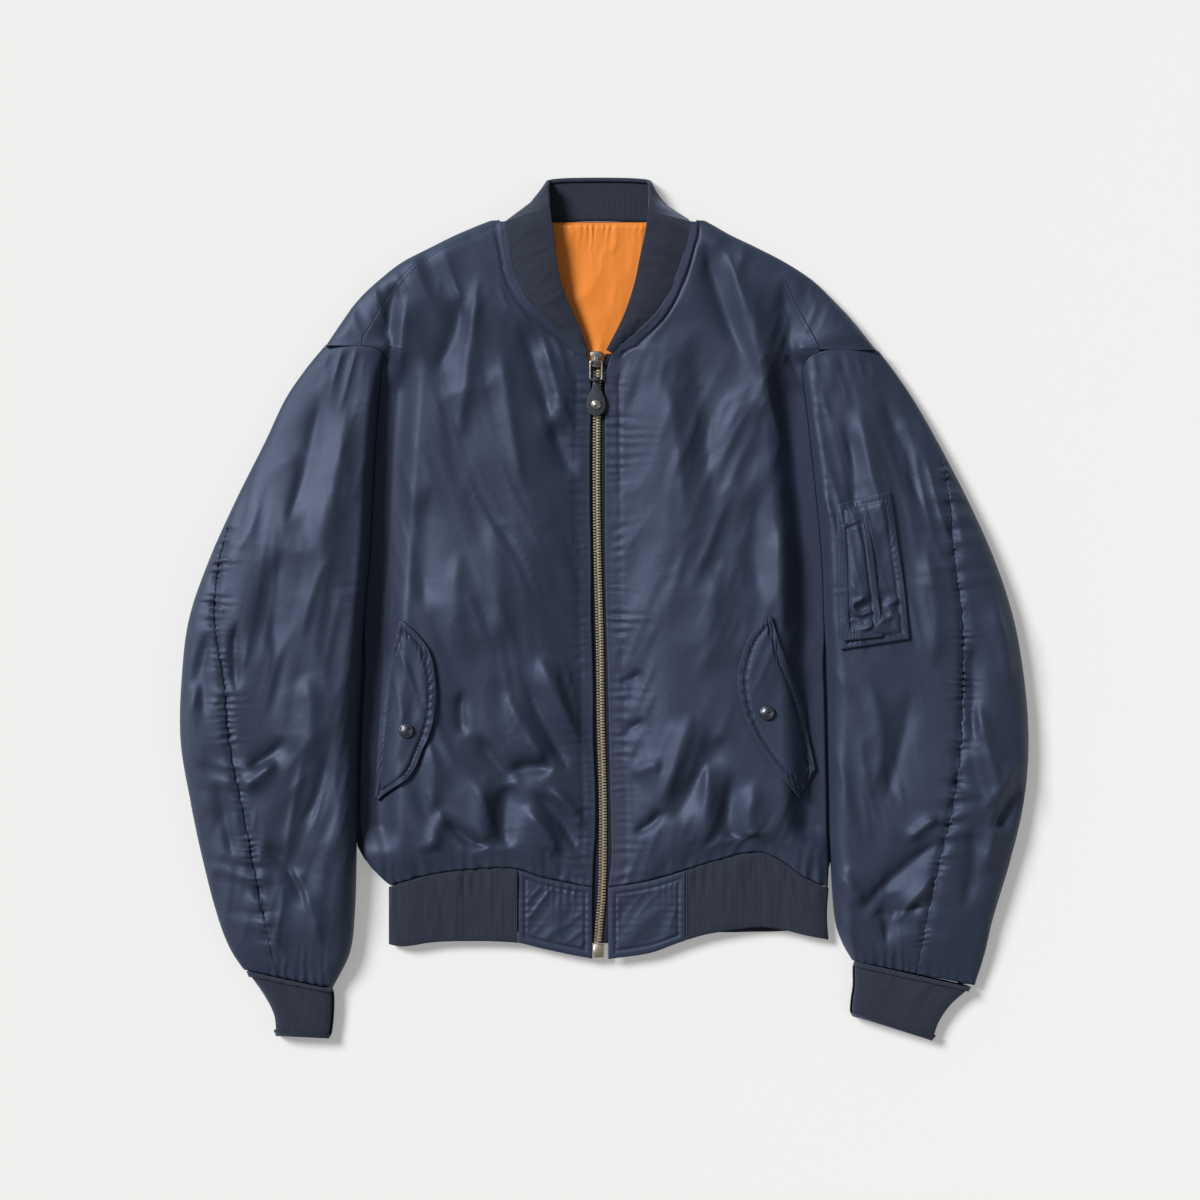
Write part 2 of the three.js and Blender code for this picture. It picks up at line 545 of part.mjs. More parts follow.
function hemRib() {
  const seams = [];
  const edges = [];
  const push = (station) => { seams.push(station.seam); edges.push(station.edge); };
  for (const [hand, side, order] of [['right', -205, 1], ['left', 214, -1]]) {
    const stations = [];
    for (let k = 0; k <= 12; k += 1) {
      stations.push(hemStation(hand, mix(TAB[hand], side, Math.sin((Math.PI / 2) * (k / 12)))));
    }
    const row = read(HEM[hand], 'x', side);
    for (let k = 1; k <= 6; k += 1) {
      const turn = (Math.PI / 2) * (k / 6);
      const x = side - Math.sign(side) * HEM_RIB.turn * (1 - Math.cos(turn));
      const z = HEM_RIB.nose * (1 - Math.sin(turn));
      stations.push({
        seam: point(x, mix(row.seam, BACK_HEM, k / 6) - SEAM_GAP / 2, z),
        edge: point(x, mix(row.edge, BACK_HEM_EDGE, k / 6), z),
      });
    }
    if (order < 0) stations.reverse();
    else stations.forEach(push);
    if (order < 0) {
      const start = seams[seams.length - 1].x;
      for (let k = 1; k < 12; k += 1) {
        const x = mix(start, stations[0].seam.x, k / 12);
        push({ seam: point(x, BACK_HEM - SEAM_GAP / 2, 0), edge: point(x, BACK_HEM_EDGE, 0) });
      }
      stations.forEach(push);
    }
  }
  const count = 46;
  const [a, b] = [seams, edges].map((line) => along(line, count, 0, line.length - 1, 0, 0));
  const rows = [];
  for (let k = 0; k <= 4; k += 1) {
    rows.push(a.map((p, i) => p.clone().lerp(b[i], k / 4)));
  }
  return sheet(rows, RIB_WALL, DOWN);
}

// A nylon tab that ends the rib beside the zip
function hemTab(hand) {
  const inner = read(FRONT[hand], 'y', HEM_BOTTOM).inner;
  const rows = [];
  for (let k = 0; k <= 4; k += 1) {
    const line = [];
    for (let i = 0; i <= 6; i += 1) {
      const x = mix(inner, TAB[hand] - Math.sign(TAB[hand]) * SEAM_GAP, i / 6);
      const row = read(HEM[hand], 'x', x);
      const y = mix(row.seam - SEAM_GAP / 2, row.edge, k / 4);
      line.push(point(x, y, mix(mix(ZIP_TOP, HEM_RIB.top, i / 6), HEM_RIB.low, k / 4)));
    }
    rows.push(line);
  }
  return sheet(rows, WALL, UP);
}

// Rib cuffs: flat tubes that narrow toward the hand. Each row: the two edges and the height
const CUFF = {
  right: [
    { at: 0, xIn: -259, yIn: -360.5, xOut: -340, yOut: -344, high: 17 },
    { at: 0.35, xIn: -259, yIn: -378, xOut: -324, yOut: -366, high: 16 },
    { at: 0.7, xIn: -260, yIn: -393, xOut: -314, yOut: -386, high: 15 },
    { at: 1, xIn: -262, yIn: -407, xOut: -312, yOut: -405, high: 14 },
  ],
  left: [
    { at: 0, xIn: 238, yIn: -335, xOut: 350, yOut: -359, high: 17 },
    { at: 0.35, xIn: 239, yIn: -356, xOut: 331, yOut: -375, high: 16 },
    { at: 0.7, xIn: 237, yIn: -372, xOut: 319, yOut: -392, high: 15 },
    { at: 1, xIn: 236, yIn: -386, xOut: 313, yOut: -409, high: 14 },
  ],
};

function cuff(hand) {
  const rows = [];
  for (let k = 0; k <= 6; k += 1) {
    const row = read(CUFF[hand], 'at', k / 6);
    const inset = SEAM_GAP / 2 + (k === 0 ? SEAM_GAP / 2 : 0);
    const loop = [];
    for (let i = 0; i < 20; i += 1) {
      const turn = (2 * Math.PI * i) / 20;
      const across = 0.5 - 0.5 * blunt(Math.cos(turn), 0.6);
      const z = (row.high / 2) * (1 + blunt(Math.sin(turn), 0.4));
      loop.push(point(mix(row.xIn, row.xOut, across), mix(row.yIn, row.yOut, across) - inset, z));
    }
    rows.push(loop);
  }
  return sheet(rows, RIB_WALL, point(hand === 'right' ? -1 : 1, 0, 0), { ring: true });
}

// The collar, a knitted band: it lies on the floor behind the neck with its inner face up, folds at
// both sides and comes forward over the neck edges. Stations from the front end to the fold: y of
// the edge that is sewn to the neck, x and y of the free edge, height of the free edge
const COLLAR = {
  right: [
    { ySeam: 246, xFree: -16, yFree: 252, high: 17 },
    { ySeam: 256, xFree: -21, yFree: 264, high: 20 },
    { ySeam: 267, xFree: -28, yFree: 278, high: 22.5 },
    { ySeam: 281, xFree: -35, yFree: 294, high: 24.5 },
    { ySeam: 298, xFree: -41, yFree: 312, high: 26 },
    { ySeam: 317, xFree: -45, yFree: 332, high: 27 },
    { ySeam: 341, xFree: -48, yFree: 358, high: 27 },
    { ySeam: 358, xFree: -51, yFree: 380, high: 25 },
    { ySeam: 369, xFree: -52, yFree: 399, high: 22 },
  ],
  left: [
    { ySeam: 247, xFree: 4, yFree: 253, high: 17 },
    { ySeam: 254, xFree: 12, yFree: 264, high: 20 },
    { ySeam: 264, xFree: 18, yFree: 278, high: 22.5 },
    { ySeam: 279, xFree: 25, yFree: 296, high: 24.5 },
    { ySeam: 296, xFree: 30, yFree: 314, high: 26 },
    { ySeam: 315, xFree: 34, yFree: 334, high: 27 },
    { ySeam: 338, xFree: 39, yFree: 358, high: 27 },
    { ySeam: 358, xFree: 42, yFree: 380, high: 25 },
    { ySeam: 369, xFree: 43, yFree: 399, high: 22 },
  ],
};
const COLLAR_GAP = 1.8;    // sideways, at the slanted neck seam
const COLLAR_FOLD = {
  right: { xSeam: -92, ySeam: 375.5, xFree: -54, yFree: 407 },
  left: { xSeam: 81, ySeam: 375.5, xFree: 44, yFree: 407 },
};

function collarStations(hand) {
  const stations = [];
  for (const row of COLLAR[hand]) {
    const neck = read(FRONT[hand], 'y', row.ySeam).inner;
    const xSeam = neck + (hand === 'right' ? COLLAR_GAP : -COLLAR_GAP);
    stations.push({
      seam: point(xSeam, row.ySeam, frontHeight(hand, neck, row.ySeam) + 0.5),
      free: point(row.xFree, row.yFree, row.high),
    });
  }
  const fold = COLLAR_FOLD[hand];
  const away = hand === 'right' ? -1 : 1;
  for (const turn of [0.5, 0, -0.5, -0.85, -1]) {
    const angle = (Math.PI / 2) * turn;
    const out = 7 * (Math.cos(angle) - 1);
    const lift = 1 + Math.sin(angle);
    stations.push({
      seam: point(fold.xSeam + away * out * 0.7, fold.ySeam + out * 0.7, 9.5 * lift),
      free: point(fold.xFree + away * out * 0.7, fold.yFree + out * 0.7, 10.5 * lift),
    });
  }
  return stations;
}

// Both edges of the collar from the right front end round the back to the left front end
function collarEdges() {
  const [right, left] = [collarStations('right'), collarStations('left')];
  const start = right[right.length - 1];
  const finish = left[left.length - 1];
  const back = [];
  for (let k = 1; k < 6; k += 1) {
    const t = k / 6;
    const settle = Math.sin(Math.PI * t);
    back.push({
      seam: point(mix(start.seam.x, finish.seam.x, t), mix(start.seam.y, NECK_SEAM + 0.6, settle), 0),
      free: point(mix(start.free.x, finish.free.x, t), mix(start.free.y, 410, settle), 0),
    });
  }
  const all = [...right, ...back, ...left.reverse()];
  const curve = (key) => new THREE.CatmullRomCurve3(all.map((s) => s[key]), false, 'centripetal');
  return { seam: curve('seam'), free: curve('free') };
}

function collar() {
  const { seam, free } = collarEdges();
  const rows = [];
  const count = 52;
  for (let k = 0; k <= 4; k += 1) {
    const row = [];
    for (let i = 0; i <= count; i += 1) {
      const a = seam.getPoint(i / count);
      const b = free.getPoint(i / count);
      const away = b.clone().sub(a).normalize().multiplyScalar(SEAM_GAP);
      const p = a.add(away).lerp(b, k / 4);
      p.z = Math.max(0, p.z);
      row.push(p);
    }
    rows.push(row);
  }
  return sheet(rows, RIB_WALL, DOWN);
}

// The orange lining of the back, which shows in the neck
const LINING = { top: 4.3, thick: 1.5 };

function liningBack() {
  const rows = [];
  for (let k = 0; k <= 6; k += 1) {
    const y = mix(NECK_SEAM - 1, 225, k / 6);
    const reach = mix(84, 60, k / 6);
    const row = [];
    for (let i = 0; i <= 8; i += 1) row.push(point(mix(-reach - 4, reach - 6, i / 8), y, LINING.top));
    rows.push(row);
  }
  return sheet(rows, LINING.thick, UP);
}

// Moves a place on a panel out from it, square to its surface
function lifted(height, x, y, lift) {
  const step = 2;
  const slopeX = (height(x + step, y) - height(x - step, y)) / (2 * step);
  const slopeY = (height(x, y + step) - height(x, y - step)) / (2 * step);
  return point(x, y, height(x, y)).addScaledVector(point(-slopeX, -slopeY, 1).normalize(), lift);
}

// A patch that lies on a panel, between two lines on it
function patch(height, low, high, thickness, lift = PATCH_LIFT) {
  const [across, down] = [7, 9];
  const rows = [];
  for (let k = 0; k <= down; k += 1) {
    const [a, b] = [low(k / down), high(k / down)];
    const row = [];
    for (let i = 0; i <= across; i += 1) {
      row.push(lifted(height, mix(a.x, b.x, i / across), mix(a.y, b.y, i / across), lift + thickness));
    }
    rows.push(row);
  }
  return sheet(rows, thickness, UP, { square: false });
}

// A smooth line through places on the panel, read from 0 to 1
function outline(places) {
  const curve = new THREE.CatmullRomCurve3(places.map(([x, y]) => point(x, y, 0)));
  return (t) => curve.getPoint(t);
}

// Pocket flaps: the seam along the side, and the free edge that bows toward the zip
const FLAP = {
  right: {
    seam: [[-192, -12], [-204, -52], [-210, -86], [-213, -124], [-216, -158], [-218, -180]],
    free: [[-190, -10], [-166, -38], [-159, -72], [-161, -104], [-171, -134], [-184, -158], [-214, -182]],
    snap: [-187, -115],
  },
  left: {
    seam: [[158, -6], [171, -51], [184, -86], [192, -116], [198, -138], [201, -152]],
    free: [[155, -5], [136, -28], [127, -59], [129, -88], [140, -118], [160, -150], [184, -180]],
    snap: [154, -98],
  },
};
const FLAP_THICK = 2;
const SNAP = { radius: 6.6, thick: 1.6, rim: 4.6 };

const flap = (hand) => patch(
  (x, y) => frontHeight(hand, x, y),
  outline(FLAP[hand].seam),
  outline(FLAP[hand].free),
  FLAP_THICK,
);

// A snap cap: a shallow dished disc on the flap
function snap(hand) {
  const [x, y] = FLAP[hand].snap;
  const z = frontHeight(hand, x, y) + PATCH_LIFT + FLAP_THICK + 0.9;
  const profile = [[0, 0], [SNAP.radius, 0], [SNAP.radius, SNAP.thick * 0.6], [SNAP.rim, SNAP.thick],
    [SNAP.rim * 0.6, SNAP.thick * 0.7], [0, SNAP.thick * 0.6]];
  const geometry = new THREE.LatheGeometry(profile.map(([r, h]) => new THREE.Vector2(r, h)), 14);
  return { geometry: closed(geometry), at: [x, y, z] };
}

// The utility pocket on the left sleeve and the pen pocket on top of it
const SLEEVE_POCKET = {
  low: [[219, 98], [221, 52], [222, 6], [224, -38]],
  high: [[268, 111], [276, 66], [283, 20], [288, -28]],
};
const PEN_POCKET = {
  low: [[221, 78], [223, 50], [224, 10], [226, -30]],
  high: [[247, 88], [252, 60], [258, 12], [262, -26]],
};
const POCKET_THICK = 2;

const onSleeve = (x, y) => {
  const row = read(SLEEVE.left.map((r) => ({ ...r, at: r.yIn })), 'at', y);
  return sleeveHeight(row, x, y, x - row.xIn, row.xOut - x);
};

const pocket = (shape, lift) => (
  patch(onSleeve, outline(shape.low), outline(shape.high), POCKET_THICK, lift)
);

// The zip: teeth as one strip between two tapes that run under the front edges
const ZIP_LINE = [
  { y: -333, x: -7 }, { y: -305, x: -5 }, { y: -270, x: -2 }, { y: -229, x: -1 },
  { y: -181, x: -1 }, { y: -105, x: -3 }, { y: -29, x: -4 }, { y: 46, x: -6 },
  { y: 122, x: -7 }, { y: 218, x: -6.5 }, { y: 250, x: -6.5 },
];
const CHAIN = { half: 3.7, thick: 3, top: 12.4, low: -318, high: 229.4 };
const TAPE = { reach: 13, thick: 1, top: ZIP_TOP - WALL - LAY_GAP };

// A strip that follows the zip between two distances from its middle
function zipStrip(from, to, { top, thick }) {
  const rows = [];
  const steps = 14;
  for (let k = 0; k <= steps; k += 1) {
    const y = mix(CHAIN.low, CHAIN.high, k / steps);
    const middle = read(ZIP_LINE, 'y', y).x;
    rows.push([from, to].map((away) => point(middle + away, y, top)));
  }
  return sheet(rows, thick, UP);
}

// Joins and cuts closed solids
const wasm = await Module();
wasm.setup();

function toSolid(geometry) {
  const bare = geometry.clone();
  bare.deleteAttribute('normal');
  bare.deleteAttribute('uv');
  const merged = mergeVertices(bare, 1e-4);
  const mesh = new wasm.Mesh({
    numProp: 3,
    vertProperties: Float32Array.from(merged.attributes.position.array),
    triVerts: Uint32Array.from(merged.index.array),
  });
  return new wasm.Manifold(mesh);
}

function toGeometry(solid) {
  const mesh = solid.getMesh();
  const geometry = new THREE.BufferGeometry();
  geometry.setAttribute('position', new THREE.BufferAttribute(Float32Array.from(mesh.vertProperties), 3));
  geometry.setIndex(Array.from(mesh.triVerts));
  geometry.computeVertexNormals();
  return geometry;
}

function block(x0, x1, y0, y1, z0, z1) {
  const box = new THREE.BoxGeometry(x1 - x0, y1 - y0, z1 - z0);
  box.translate((x0 + x1) / 2, (y0 + y1) / 2, (z0 + z1) / 2);
  return toSolid(box);
}

// The slider: a body on the chain, and a bridge that holds the pull's bar
const SLIDER = { x: -7.5, low: 229.8, high: 245, waist: 8, shoulder: 12, under: 8.6, top: 14.6 };
const BRIDGE = { half: 1.6, low: 231, high: 241.5, thick: 1.5, top: 19 };
const HINGE = { y: 235.4, z: 16.3 };
const PULL = { wire: 2, outer: 6.6, low: 216.8 };

function slider() {
  const shape = new THREE.Shape();
  const [w, s] = [SLIDER.waist / 2, SLIDER.shoulder / 2];
  shape.moveTo(-w, SLIDER.low);
  shape.lineTo(w, SLIDER.low);
  shape.quadraticCurveTo(w + 0.4, 238, s, 240.5);
  shape.quadraticCurveTo(s + 0.4, SLIDER.high, s - 2, SLIDER.high);
  shape.lineTo(-s + 2, SLIDER.high);
  shape.quadraticCurveTo(-s - 0.4, SLIDER.high, -s, 240.5);
  shape.quadraticCurveTo(-w - 0.4, 238, -w, SLIDER.low);
  const body = new THREE.ExtrudeGeometry(shape, {
    depth: SLIDER.top - SLIDER.under, bevelEnabled: false, curveSegments: 5,
  });
  body.translate(SLIDER.x, 0, SLIDER.under);
  const [x0, x1] = [SLIDER.x - BRIDGE.half, SLIDER.x + BRIDGE.half];
  const arch = block(x0, x1, BRIDGE.low, BRIDGE.high, SLIDER.top - 0.5, BRIDGE.top);
  const hole = block(x0 - 1, x1 + 1, BRIDGE.low + BRIDGE.thick, BRIDGE.high - BRIDGE.thick,
    SLIDER.top, BRIDGE.top - BRIDGE.thick);
  return toGeometry(toSolid(body).add(arch.subtract(hole)));
}

// The metal pull: a four-sided frame of round wire whose upper bar turns under the bridge
function pull() {
  const half = PULL.wire / 2;
  const [left, right] = [SLIDER.x - PULL.outer, SLIDER.x + PULL.outer];
  const bar = (length, place, turn) => {
    const rod = new THREE.CylinderGeometry(half, half, length, 24);
    if (turn) rod.rotateZ(Math.PI / 2);
    rod.translate(...place);
    return toSolid(rod);
  };
  const lowBar = PULL.low + half;
  const tall = HINGE.y - lowBar;
  const middle = (HINGE.y + lowBar) / 2;
  const wide = right - left;
  return toGeometry(bar(wide, [SLIDER.x, HINGE.y, HINGE.z], true)
    .add(bar(wide, [SLIDER.x, lowBar, HINGE.z], true))
    .add(bar(tall, [left + half, middle, HINGE.z], false))
    .add(bar(tall, [right - half, middle, HINGE.z], false)));
}

// The leather puller: a loop round the pull's lower bar and a drop-shaped tab
const STRAP = { loopOut: 3.1, loopIn: 1.85, half: 3.3, wide: 9.2, middle: 194, low: 183.5, thick: 2.2 };

function strap() {
  const barY = PULL.low + PULL.wire / 2;
  const ring = new THREE.Shape();
  ring.absarc(0, 0, STRAP.loopOut, 0, Math.PI * 2);
  const eye = new THREE.Path();
  eye.absarc(0, 0, STRAP.loopIn, 0, Math.PI * 2, true);
  ring.holes.push(eye);
  const loop = new THREE.ExtrudeGeometry(ring, {
    depth: STRAP.half * 2, bevelEnabled: false, curveSegments: 8,
  });
  loop.rotateY(Math.PI / 2);
  loop.rotateX(Math.PI / 2);
  loop.translate(SLIDER.x - STRAP.half, barY, HINGE.z);
  const drop = new THREE.Shape();
  const neck = barY - STRAP.loopIn - 0.5;
  drop.moveTo(-STRAP.half, neck);
  drop.lineTo(STRAP.half, neck);
  drop.bezierCurveTo(STRAP.half, 207, STRAP.wide, 203, STRAP.wide, STRAP.middle);
  drop.bezierCurveTo(STRAP.wide, 187, 5, STRAP.low, 0, STRAP.low);
  drop.bezierCurveTo(-5, STRAP.low, -STRAP.wide, 187, -STRAP.wide, STRAP.middle);
  drop.bezierCurveTo(-STRAP.wide, 203, -STRAP.half, 207, -STRAP.half, neck);
  const tab = new THREE.ExtrudeGeometry(drop, {
    depth: STRAP.thick, bevelEnabled: false, curveSegments: 8,
  });
  tab.translate(SLIDER.x, 0, HINGE.z - STRAP.thick / 2);
  return toGeometry(toSolid(loop).add(toSolid(tab)));
}

// A lathe whose profile ends on the axis, as one closed solid standing on +Z
function closed(geometry) {
  const turned = geometry.clone();
  turned.rotateX(Math.PI / 2);
  turned.deleteAttribute('normal');
  turned.deleteAttribute('uv');
  return mergeVertices(turned, 1e-4);
}

function rivet() {
  const profile = [[0, 0], [4.6, 0], [4.6, 0.5], [3, 1], [2.6, 0.7], [2.2, 1.3], [0, 1.5]];
  return closed(new THREE.LatheGeometry(profile.map(([r, h]) => new THREE.Vector2(r, h)), 14));
}

// Finishes
const finish = (color, roughness, metalness = 0) => () => (
  new THREE.MeshStandardMaterial({ color, roughness, metalness })
);
const nylon = finish(0x2b3246, 0.45);
const rib = finish(0x2a3040, 0.85);
const lining = finish(0xe88b3c, 0.5);
const brass = finish(0xa89a78, 0.35, 1);
const metal = finish(0x6e6a60, 0.35, 1);
const leather = finish(0x4a4c50, 0.6);

const jacket = new THREE.Group();
function add(name, geometry, material, place = [0, 0, 0]) {
  const mesh = new THREE.Mesh(geometry, material());
  mesh.name = name;
  mesh.position.set(...place);
  jacket.add(mesh);
}

add('back', back(), nylon);
for (const hand of ['right', 'left']) {
  const panels = sleevePanels(hand);
  add(`front_${hand}`, front(hand), nylon);
  add(`sleeve_${hand}_top`, panels.over, nylon);
  add(`sleeve_${hand}_under`, panels.below, nylon);
  add(`cuff_${hand}`, cuff(hand), rib);
  add(`hem_tab_${hand}`, hemTab(hand), nylon);
  add(`flap_${hand}`, flap(hand), nylon);
  const cap = snap(hand);
  add(`snap_${hand}`, cap.geometry, metal, cap.at);
}
add('collar_rib', collar(), rib);
add('hem_rib', hemRib(), rib);
add('lining_back', liningBack(), lining);
const onPocket = PATCH_LIFT + POCKET_THICK + 0.6;
add('sleeve_pocket', pocket(SLEEVE_POCKET, PATCH_LIFT), nylon);
add('pen_pocket', pocket(PEN_POCKET, onPocket), nylon);
const tapeEdge = CHAIN.half + SEAM_GAP;
add('zip_tape_right', zipStrip(-tapeEdge - TAPE.reach, -tapeEdge, TAPE), nylon);
add('zip_tape_left', zipStrip(tapeEdge, tapeEdge + TAPE.reach, TAPE), nylon);
add('zip_chain', zipStrip(-CHAIN.half, CHAIN.half, CHAIN), brass);
add('zip_slider', slider(), metal);
add('zip_pull', pull(), metal);
add('zip_strap', strap(), leather);
add('zip_rivet', rivet(), metal, [SLIDER.x, STRAP.middle, HINGE.z + STRAP.thick / 2 + LAY_GAP]);
add('zip_stop', toGeometry(block(-10.3, 0.3, -332, -318.4, 8.8, 13)), metal);

// The origin is on the floor under the middle of the jacket's box
const box = new THREE.Box3().setFromObject(jacket, true);
const origin = box.getCenter(new THREE.Vector3());
jacket.position.set(-origin.x, -origin.y, -box.min.z);

export default jacket;
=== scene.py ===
# A bomber jacket laid flat on its back, front up, seen from straight above. Sizes in this file are
# millimetres in the pattern's own plane; cloth() turns them into metres where the model stands.
import math
import bpy
import numpy as np
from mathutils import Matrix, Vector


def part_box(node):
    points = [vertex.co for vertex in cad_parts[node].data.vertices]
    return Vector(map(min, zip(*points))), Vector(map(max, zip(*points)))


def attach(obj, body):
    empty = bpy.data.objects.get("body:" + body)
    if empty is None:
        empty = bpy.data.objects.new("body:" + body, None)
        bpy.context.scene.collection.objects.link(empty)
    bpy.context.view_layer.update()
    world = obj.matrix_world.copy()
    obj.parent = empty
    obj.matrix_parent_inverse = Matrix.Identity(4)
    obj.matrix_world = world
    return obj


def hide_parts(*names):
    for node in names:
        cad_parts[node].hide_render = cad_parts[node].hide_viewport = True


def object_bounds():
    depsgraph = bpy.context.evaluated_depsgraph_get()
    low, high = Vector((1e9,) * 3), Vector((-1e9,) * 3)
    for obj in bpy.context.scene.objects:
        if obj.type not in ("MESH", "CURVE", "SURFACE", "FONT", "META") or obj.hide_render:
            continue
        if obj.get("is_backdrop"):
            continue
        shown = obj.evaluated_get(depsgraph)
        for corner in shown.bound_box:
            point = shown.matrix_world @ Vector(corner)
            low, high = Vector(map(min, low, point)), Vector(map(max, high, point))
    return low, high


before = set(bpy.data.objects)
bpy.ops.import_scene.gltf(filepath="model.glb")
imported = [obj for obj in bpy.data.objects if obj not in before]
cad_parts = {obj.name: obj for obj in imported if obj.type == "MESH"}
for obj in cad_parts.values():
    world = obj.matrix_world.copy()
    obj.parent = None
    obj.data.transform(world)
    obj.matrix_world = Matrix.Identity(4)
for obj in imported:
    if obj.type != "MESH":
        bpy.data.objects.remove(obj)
cad_box = [list(corner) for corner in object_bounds()]


# The view
# Camera straight above the middle of the jacket, on a pale floor, with one soft far light from the
# upper left that falls evenly, a weak near one from the right, and an even white surround.
VIEW_WIDTH = 1.140
VIEW_MIDDLE = (-0.0040, 0.0081, 0.015)
CAMERA_HEIGHT = 3.0
SENSOR_WIDTH = 36.0
KEY = {"angle": math.radians(20), "energy": 3.8}
KEY_TURN = (50, 0, 236)
SIDE = {"shape": "DISK", "size": 2.2, "energy": 8}
SIDE_TURN = (50, 0, 71)
SIDE_PLACE = (2.9, -1.0, 2.6)
SURROUND_STRENGTH = 0.17
FLOOR_REACH = 4
FLOOR_LEVEL = -0.0005
FLOOR_LOOK = {
    "Base Color": (0.63, 0.63, 0.62, 1), "Emission Color": (1, 1, 0.985, 1), "Emission Strength": 0.26,
    "Roughness": 0.9, "Specular IOR Level": 0.1}


def added(name, data):
    """A new object in the scene."""
    made = bpy.data.objects.new(name, data)
    bpy.context.scene.collection.objects.link(made)
    return made


def add_light(name, kind, settings, turn, place=(0, 0, 0)):
    """A light turned by three angles in degrees."""
    data = bpy.data.lights.new(name, kind)
    for key, value in settings.items():
        setattr(data, key, value)
    light = added(name, data)
    light.location = place
    light.rotation_euler = [math.radians(angle) for angle in turn]


def new_paint(name, look):
    """A material, its node tree and its shader, whose inputs are set to the look."""
    paint = bpy.data.materials.new(name)
    paint.use_nodes = True
    shader = paint.node_tree.nodes["Principled BSDF"]
    for key, value in look.items():
        shader.inputs[key].default_value = value
    return paint, paint.node_tree, shader


camera_data = bpy.data.cameras.new("view")
camera_data.sensor_width = SENSOR_WIDTH
camera_data.lens = SENSOR_WIDTH * (CAMERA_HEIGHT - VIEW_MIDDLE[2]) / VIEW_WIDTH
camera = added("view", camera_data)
camera.location = (VIEW_MIDDLE[0], VIEW_MIDDLE[1], CAMERA_HEIGHT)
bpy.context.scene.camera = camera
add_light("key", "SUN", KEY, KEY_TURN)
add_light("side", "AREA", SIDE, SIDE_TURN, SIDE_PLACE)

world = bpy.data.worlds.new("surround")
world.use_nodes = True
surround = world.node_tree.nodes["Background"]
surround.inputs["Color"].default_value = (1.0, 1.0, 1.0, 1)
surround.inputs["Strength"].default_value = SURROUND_STRENGTH
bpy.context.scene.world = world
bpy.context.scene.view_settings.view_transform = "Standard"

floor_mesh = bpy.data.meshes.new("floor")
corners = [(x * FLOOR_REACH, y * FLOOR_REACH, 0) for x, y in ((-1, -1), (1, -1), (1, 1), (-1, 1))]
floor_mesh.from_pydata(corners, [], [(0, 1, 2, 3)])
floor = added("floor", floor_mesh)
floor.location.z = FLOOR_LEVEL
floor_mesh.materials.append(new_paint("floor_paint", FLOOR_LOOK)[0])
floor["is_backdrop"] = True


# The fronts
# Two panels of satin nylon with thin padding. Each runs from the zip and the neck seam to the
# armhole, side and shoulder seams, and is gathered a little into the hem rib.
SLEEVE_NAMES = ("y_in", "x_in", "y_out", "x_out", "x_seam", "crown")
SLEEVE = {
    "right": (
        (239, -209, 250, -266, -266, 22), (225, -212, 228, -284, -284, 23),
        (200, -215, 200, -303, -303, 25), (160, -218, 160, -322, -322, 29),
        (104, -221, 104, -350, -348, 33), (46, -224, 46, -376, -364, 36),
        (-10, -229, -10, -395, -368, 37), (-68, -232, -68, -402, -359, 36),
        (-124, -235, -124, -403, -354, 35), (-181, -236, -181, -394, -343, 34),
        (-238, -236, -238, -382, -332, 32), (-295, -238, -295, -367, -321, 29),
        (-330, -243, -325, -355, -315, 24), (-360, -258, -343, -343, -309, 17)),
    "left": (
        (229, 189, 246, 261, 261, 22), (216, 190, 222, 279, 279, 23),
        (195, 193, 195, 297, 297, 25), (160, 197, 160, 317, 316, 29),
        (104, 203, 104, 346, 327, 34), (46, 208, 46, 372, 331, 37),
        (-10, 210, -10, 390, 338, 38), (-68, 213, -68, 400, 339, 37),
        (-124, 214, -124, 404, 337, 36), (-181, 215, -181, 400, 330, 35),
        (-238, 216, -238, 387, 317, 33), (-295, 220, -295, 370, 305, 29),
        (-318, 227, -330, 362, 300, 24), (-334, 236, -358, 353, 297, 17)),
}
FRONT_NAMES = ("y", "side", "inner", "crown")
FRONT = {
    "right": (
        (-262, -203, -11, 15), (-238, -226, -10, 20), (-210, -232.5, -8, 23), (-172, -233, -8, 24),
        (-124, -232, -10, 25), (-77, -229.5, -10, 25), (-39, -227.5, -11, 25), (-8, -226, -12, 25),
        (46, -224, -12, 25), (104, -221, -13, 25), (160, -218, -13, 24), (198, -215, -12, 23),
        (225, -212, -13, 22), (239, -209, -15, 22), (250, -229, -24, 22), (275, -218, -54, 22),
        (294, -206, -72, 22), (313, -194, -83, 21), (330, -176, -87, 21), (345, -151, -90, 20),
        (355, -128, -92, 19), (364, -108, -93, 18), (369.5, -99, -93.5, 17)),
    "left": (
        (-262, 213, 4, 15), (-238, 214, 7, 20), (-210, 212.5, 7, 23), (-172, 212, 6, 24),
        (-124, 211, 5, 25), (-77, 210, 4, 25), (-39, 208.5, 3, 25), (-8, 209, 2, 25),
        (46, 208, 1, 25), (104, 203, 1, 25), (160, 197, 1, 24), (195, 193, 1, 23),
        (216, 190, 1, 22), (229, 189, 3, 22), (246, 204, 10, 22), (253, 202, 19, 22),
        (275, 190, 44, 22), (294, 180, 58, 22), (313, 171, 67, 21), (330, 154, 73, 21),
        (345, 125, 77, 20), (355, 104, 80, 19), (364, 95, 81, 18), (369.5, 87.5, 81.5, 17)),
}
WRAP_NAMES = ("y", "edge")
WRAP = {
    "right": ((250, -265), (275, -248), (294, -234), (313, -214), (330, -192), (345, -163),
              (355, -143), (364, -122), (369.5, -108)),
    "left": ((246, 259), (275, 236), (294, 218), (313, 198), (330, 172), (345, 143),
             (355, 122), (364, 106), (369.5, 96)),
}
HEM_NAMES = ("x", "seam", "edge")
